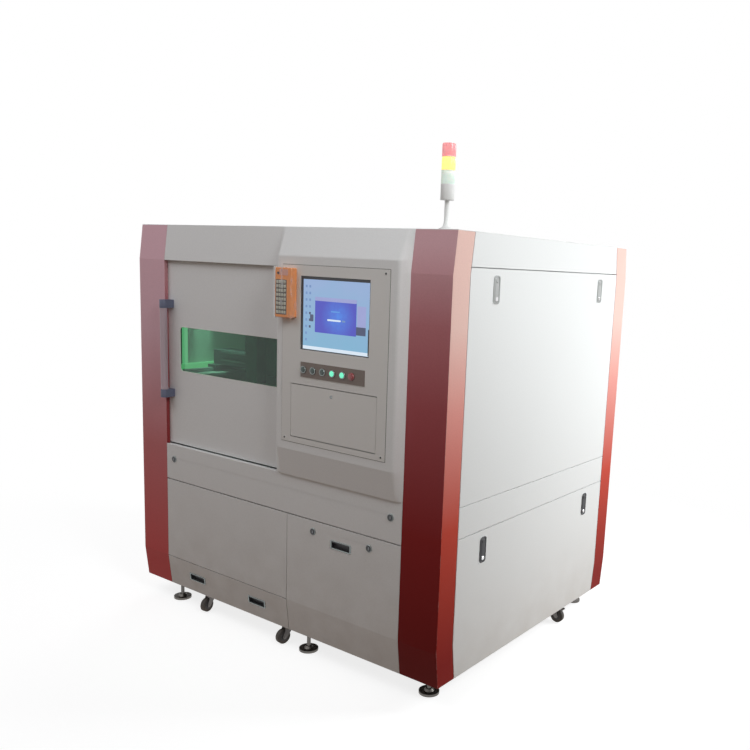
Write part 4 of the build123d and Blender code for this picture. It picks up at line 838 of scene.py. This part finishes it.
def build_tower():
    """Three lenses with vertical ribs, two thin joints and a flange with its cone."""
    low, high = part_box("tower_lenses")
    centre = middle(low, high)[:2]
    radius = half_size(low, high)[0]
    tier = (high.z - low.z) / 3 / MM
    profile = [(radius - 1.0, 0.0), (radius - 0.6, 0.6), (radius - 0.6, 3.0), (radius, 4.0)]
    profile += [(radius, tier - 5.0), (radius - 0.8, tier - 4.0), (radius - 0.8, tier - 1.0)]
    profile += [(radius - 2.0, tier - 0.2)]
    joint = [(radius - 0.4, -0.9), (radius + 0.3, -0.7), (radius + 0.3, 0.7), (radius - 0.4, 0.9)]
    levels = [face_at((*centre, low.z + MM * tier * number), up=(0, 1, 0)) for number in range(3)]
    # The middle lens glows as its lamp; the weaker glow of the top and low lenses is painted light for their
    # washed-out look.
    lens_tints_and_glows = (("low", (0.74, 0.88, 0.80, 1), 0.30), ("middle", (1.0, 0.82, 0.22, 1), 0.85))
    lens_tints_and_glows += (("top", (0.88, 0.34, 0.35, 1), 0.45),)
    for foot, (tier_name, colour, strength) in zip(levels, lens_tints_and_glows):
        name = "tower_lens_" + tier_name
        replaced = ("tower_lenses",) if tier_name == "middle" else ()
        skin = turned(foot, profile, 144, 36, 0.035)
        finish = lens_material(name + " tint", colour, strength)
        piece(name, [skin], "machine", "tower_lens", finish, replaced)
    piece("tower_joints", [turned(foot, joint, 48) for foot in levels[1:]], "machine", "tower_grey")
    foot = face_at((*centre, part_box("tower_pole")[0].z), up=(0, 1, 0))
    cone = [(25.2, 0.1), (25.2, 6.3), (21.0, 8.0), (13.0, 13.0), (9.5, 22.0), (9.0, 30.0), (8.2, 31.0)]
    piece("tower_flange", [turned(foot, cone)], "machine", "tower_grey")


# Caster wheels
def build_running_gear():
    """A stepped hub disc on both sides of each wheel."""
    hub = [(20.0, 9.4), (20.0, 10.6), (17.0, 11.2), (14.0, 10.9), (8.0, 10.9), (7.0, 11.6), (5.3, 11.6)]
    axles = {joint["name"]: np.array(joint["axis"], float) for joint in frame["joints"]}
    for name in ("front_left", "front_middle", "rear_right", "rear_left"):
        low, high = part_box(name + "_caster_wheel")
        axle = axles[name + "_caster_roll"]
        sides = [np.cross(hand * axle, (0, 0, 1)) for hand in (-1, 1)]
        hubs = [turned(face_at((low + high) / 2, right=(0, 0, 1), up=up), hub, 32) for up in sides]
        piece(name + "_hub", hubs, name + "_wheel", "fork", black)


# Door handle
def build_handle():
    """A smooth sleeve on the bar between the two brackets, with a narrow collar at each end."""
    low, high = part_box("door_handle")
    across, _, height = middle(low, high)
    half_l = half_size(low, high)[2] - handle_bracket
    place = face_at((across, low.y + handle_axis * MM, height), up=(0, 1, 0))
    grip = [(15.1, -half_l), (16.6, 0.6 - half_l), (16.6, 7.0 - half_l), (15.5, 8.0 - half_l)]
    grip += [(radius, -out) for radius, out in reversed(grip)]
    # Painted reflection: a grey grip tinted mauve as if it reflected the red post beside it.
    satin = moulded("grip coat with painted reflection", (0.50, 0.38, 0.43, 1), rough_shift=-0.2, dust_and_shade=0.0)
    piece("handle_grip", [turned(place, grip, 40)], "door", "handle", satin)


# Window trim, chamber light, a painted wall light, beam details and rear louvres
def build_window_trim():
    """A pale folded edge round the window's cut-out."""
    half_w, _, half_h = [half - window_lap for half in half_size(*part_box("door_window"))]
    face = moved(front_of("door_window"), out=sheet)
    trim = [(half_w - 1.6, half_h - 1.6, 16.4, -sheet), (half_w + 0.1, half_h + 0.1, 18.0, -sheet)]
    trim += [(half_w + 1.6, half_h + 1.6, 19.5, 0.1), (half_w + 1.6, half_h + 1.6, 19.5, 0.6)]
    trim += [(half_w - 1.0, half_h - 1.0, 17.0, 0.6), (half_w - 1.6, half_h - 1.6, 16.4, 0.2)]
    edge = moulded("pale edge", (0.80, 0.82, 0.78, 1), dust_and_shade=0.0)
    piece("window_trim", [framed(face, trim, 8)], "door", "panel", edge)


def build_chamber_light():
    """A lit strip upright on the chamber's left wall, near the door."""
    place = face_at((wall_x, -0.53, 1.24), right=(0, 1, 0))
    piece("chamber_light_case", [pressed(place, tile(20, 190, 0, 12, 3, 1))], "machine", "lever")
    lens = glowing("chamber light", (0.40, 0.70, 0.46, 1), 0.9)
    piece("chamber_light_lens", [pressed(place, tile(16, 184, 12, 14, 3, 1))], "machine", "lever", lens)


def build_beam():
    """Narrow running faces over the beam's two guide strips, and a cap on each of its ends."""
    low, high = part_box("gantry_beam")
    across, depth, _ = middle(low, high)
    run_inset = 57.0
    half_l = half_size(low, high)[0] - run_inset
    run = tile(half_l, 2.6, 0.02, 0.18, 0.3, 0.05)
    heights = [high.z - drop * MM for drop in guide_drops]
    faces = [face_at((across, depth - guide_out * MM, height)) for height in heights]
    runs = [pressed(moved(face, along=8.0), run) for face in faces]
    piece("beam_guides", runs, "gantry", "chrome", finishes["lever"])
    cap_half = (44.0, 34.0)
    cap_drop = 35.0
    end_z = high.z - cap_drop * MM
    ends = [face_at((end, depth, end_z), right=(0, hand, 0)) for end, hand in ((low.x, -1), (high.x, 1))]
    caps = [pressed(face, tile(*cap_half, 0.0, 1.5, 2.0, 0.5)) for face in ends]
    piece("beam_end_caps", caps, "gantry", "cutter", black)


def build_painted_wall_light():
    """A glowing strip along the chamber's left wall, where a ledge catches the chamber's light: its glow is
    painted light.
    """
    place = face_at((wall_x, -0.37, 1.087), right=(0, 1, 0))
    # Painted light: the glow stands in for the lamp-lit wall and ledge.
    wall_glow = glowing("painted wall light", (0.34, 0.70, 0.40, 1), 0.8)
    piece("wall_painted_light", [pressed(place, tile(180, 19, 0, 34, 2, 1))], "machine", "lever", wall_glow)


def louvre_hood(face, half_w, drop, reach):
    """A pressed hood over a slot: a quarter wave out of the sheet that dies away at both ends."""
    across = np.linspace(-1, 1, 17)
    down = np.linspace(0, 1, 7)
    swell = np.sin(np.pi / 2 * down)[None, :] * (1 - np.abs(across) ** 6)[:, None]
    x = np.repeat(half_w * across[:, None], len(down), axis=1)
    y = np.repeat((drop / 2 - drop * down)[None, :], len(across), axis=0)
    outer = np.stack([x, y, 0.15 + reach * swell], -1)
    inner = np.stack([x, y, 0.05 + (reach - 1.2) * swell], -1)[:, ::-1]
    points, faces = stack(np.concatenate([outer, inner], axis=1)[::-1])
    return on_face(face, points), faces


def build_rear():
    """Hoods over the louvres and a bead round the exhaust spigot."""
    lowest = floor_gap + 0.254
    pitch = 0.024
    places = [(x, rear_y, lowest + pitch * row) for x in (-0.4, 0.4) for row in range(9)]
    hoods = [louvre_hood(face_at(place, right=(-1, 0, 0)), 134.0, 14.0, 7.0) for place in places]
    piece("louvre_hoods", hoods, "machine", "panel")
    spigot = face_at((-0.115, rear_y, floor_gap + 1.4), right=(-1, 0, 0))
    flange = [(75.2, 0.1), (96.0, 0.1), (96.0, 1.8), (95.0, 2.4), (77.0, 2.4), (75.2, 3.4)]
    piece("spigot_flange", [turned(spigot, flange + [flange[0]], 64)], "machine", "zinc")


build_display()
build_buttons()
build_pulls()
build_locks()
build_screws()
build_latches()
build_keypad()
build_tower()
build_running_gear()
build_handle()
build_window_trim()
build_chamber_light()
build_beam()
build_painted_wall_light()
build_rear()


# Floor, background, lamps and camera
def clear_rays(tree):
    """One where a ray comes from the camera, a reflection or through glass."""
    path = add_node(tree, "ShaderNodeLightPath").outputs
    shiny = maths(tree, "ADD", path["Is Glossy Ray"], path["Is Transmission Ray"])
    return maths(tree, "ADD", path["Is Camera Ray"], shiny, clamp=True)


def seen_or_not(tree, unseen, seen, output):
    """Shows one shader to clear rays and the other to all the rest."""
    mix = add_node(tree, "ShaderNodeMixShader")
    for source, target in zip((clear_rays(tree), unseen.outputs[0], seen.outputs[0]), mix.inputs):
        join(source, target)
    join(mix.outputs[0], add_node(tree, output).inputs["Surface"])


def floor_material():
    """White to the camera and in reflections, with the object's shadow, and a dim warm bounce."""
    material = bpy.data.materials.new("studio floor")
    material.use_nodes = True
    tree = material.node_tree
    tree.nodes.clear()
    span = add_node(tree, "ShaderNodeVectorMath", operation="LENGTH")
    join(add_node(tree, "ShaderNodeNewGeometry").outputs["Position"], span.inputs[0])
    shadow_reach = 1.5
    fade_length = 1.6
    beyond = maths(tree, "SUBTRACT", span.outputs["Value"], shadow_reach)
    far = maths(tree, "DIVIDE", beyond, fade_length, clamp=True)
    white = add_node(tree, "ShaderNodeBsdfDiffuse")
    join(blend_colours(tree, far, (0.42, 0.42, 0.42, 1), (0, 0, 0, 1)), white.inputs["Color"])
    glow = add_node(tree, "ShaderNodeEmission", {"Color": (1, 1, 1, 1)})
    join(maths(tree, "ADD", maths(tree, "MULTIPLY", far, 0.2), 0.8), glow.inputs["Strength"])
    seen = add_node(tree, "ShaderNodeAddShader")
    join(white.outputs[0], seen.inputs[0])
    join(glow.outputs[0], seen.inputs[1])
    unseen = add_node(tree, "ShaderNodeBsdfDiffuse", {"Color": (0.30, 0.16, 0.07, 1)})
    seen_or_not(tree, unseen, seen, "ShaderNodeOutputMaterial")
    return material


def build_floor():
    """A level plane far wider than the view."""
    mesh = bpy.data.meshes.new("studio_floor")
    reach = 30.0
    corners = [(-reach, -reach, 0), (reach, -reach, 0), (reach, reach, 0), (-reach, reach, 0)]
    mesh.from_pydata(corners, [], [(0, 1, 2, 3)])
    mesh.materials.append(floor_material())
    floor = put("studio_floor", mesh)


def build_world():
    """White behind the object, and a soft grey sky for everything else."""
    world = bpy.data.worlds.new("studio")
    bpy.context.scene.world = world
    world.use_nodes = True
    tree = world.node_tree
    tree.nodes.clear()
    white = add_node(tree, "ShaderNodeBackground", {"Color": (1, 1, 1, 1), "Strength": 1.0})
    soft = add_node(tree, "ShaderNodeBackground", {"Color": (0.97, 0.985, 1.0, 1), "Strength": 0.24})
    seen_or_not(tree, soft, white, "ShaderNodeOutputWorld")


def area_lamp(name, place, target, size, power, colour=(1, 1, 1), spread=180):
    """A soft rectangular lamp at a place, turned towards a target, with its light held to a spread."""
    lamp = bpy.data.lights.new(name, "AREA")
    lamp.shape = "RECTANGLE"
    lamp.size, lamp.size_y = size
    lamp.energy = power
    lamp.spread = radians(spread)
    lamp.color = colour
    obj = put(name, lamp)
    obj.location = place
    obj.rotation_euler = (Vector(target) - Vector(place)).to_track_quat("-Z", "Y").to_euler()


def build_camera():
    """The photograph's camera: turned, dropped and rolled, with its shift."""
    turn, drop, roll = np.radians([camera_turn, camera_drop, camera_roll])
    back = np.array([np.sin(turn) * np.cos(drop), -np.cos(turn) * np.cos(drop), np.sin(drop)])
    level = np.array([np.cos(turn), np.sin(turn), 0.0])
    upright = np.cross(back, level)
    right = np.cos(roll) * level + np.sin(roll) * upright
    up = np.cos(roll) * upright - np.sin(roll) * level
    lens = bpy.data.cameras.new("camera")
    lens.lens = camera_lens
    lens.sensor_width = 36.0
    lens.shift_x, lens.shift_y = camera_shift
    camera = put("camera", lens)
    turned_axes = Matrix(np.stack([right, up, back], axis=1).tolist()).to_4x4()
    camera.matrix_world = Matrix.Translation(camera_place) @ turned_axes
    bpy.context.scene.camera = camera


build_floor()
build_world()
cool = (0.97, 1.0, 1.0)
greenish = (0.9, 1.0, 0.92)
area_lamp("window_light", (3.4, 2.4, 2.5), (0.87, 1.1, 1.2), (1.8, 1.8), 28, cool, 70)
area_lamp("corner_light", (2.8, -1.3, 3.2), (0.87, -0.4, 1.75), (1.2, 1.2), 5, cool, 55)
area_lamp("front_fill", (-0.9, -2.5, 3.3), (-0.2, -0.7, 1.1), (2.4, 1.2), 20, (0.98, 0.98, 1.0))
area_lamp("rear_fill", (-3.0, 3.6, 3.0), (-0.5, 0.6, 0.9), (2.4, 1.6), 42)
area_lamp("ledge_lamp", (-0.66, -0.42, 1.26), (-0.665, -0.42, 1.0), (0.10, 0.34), 0.32, greenish, 80)
area_lamp("chamber_lamp", (-0.66, -0.52, 1.60), (-0.78, -0.30, 1.10), (0.05, 0.05), 1.0, greenish)
build_camera()
bpy.context.scene.view_settings.view_transform = "Standard"
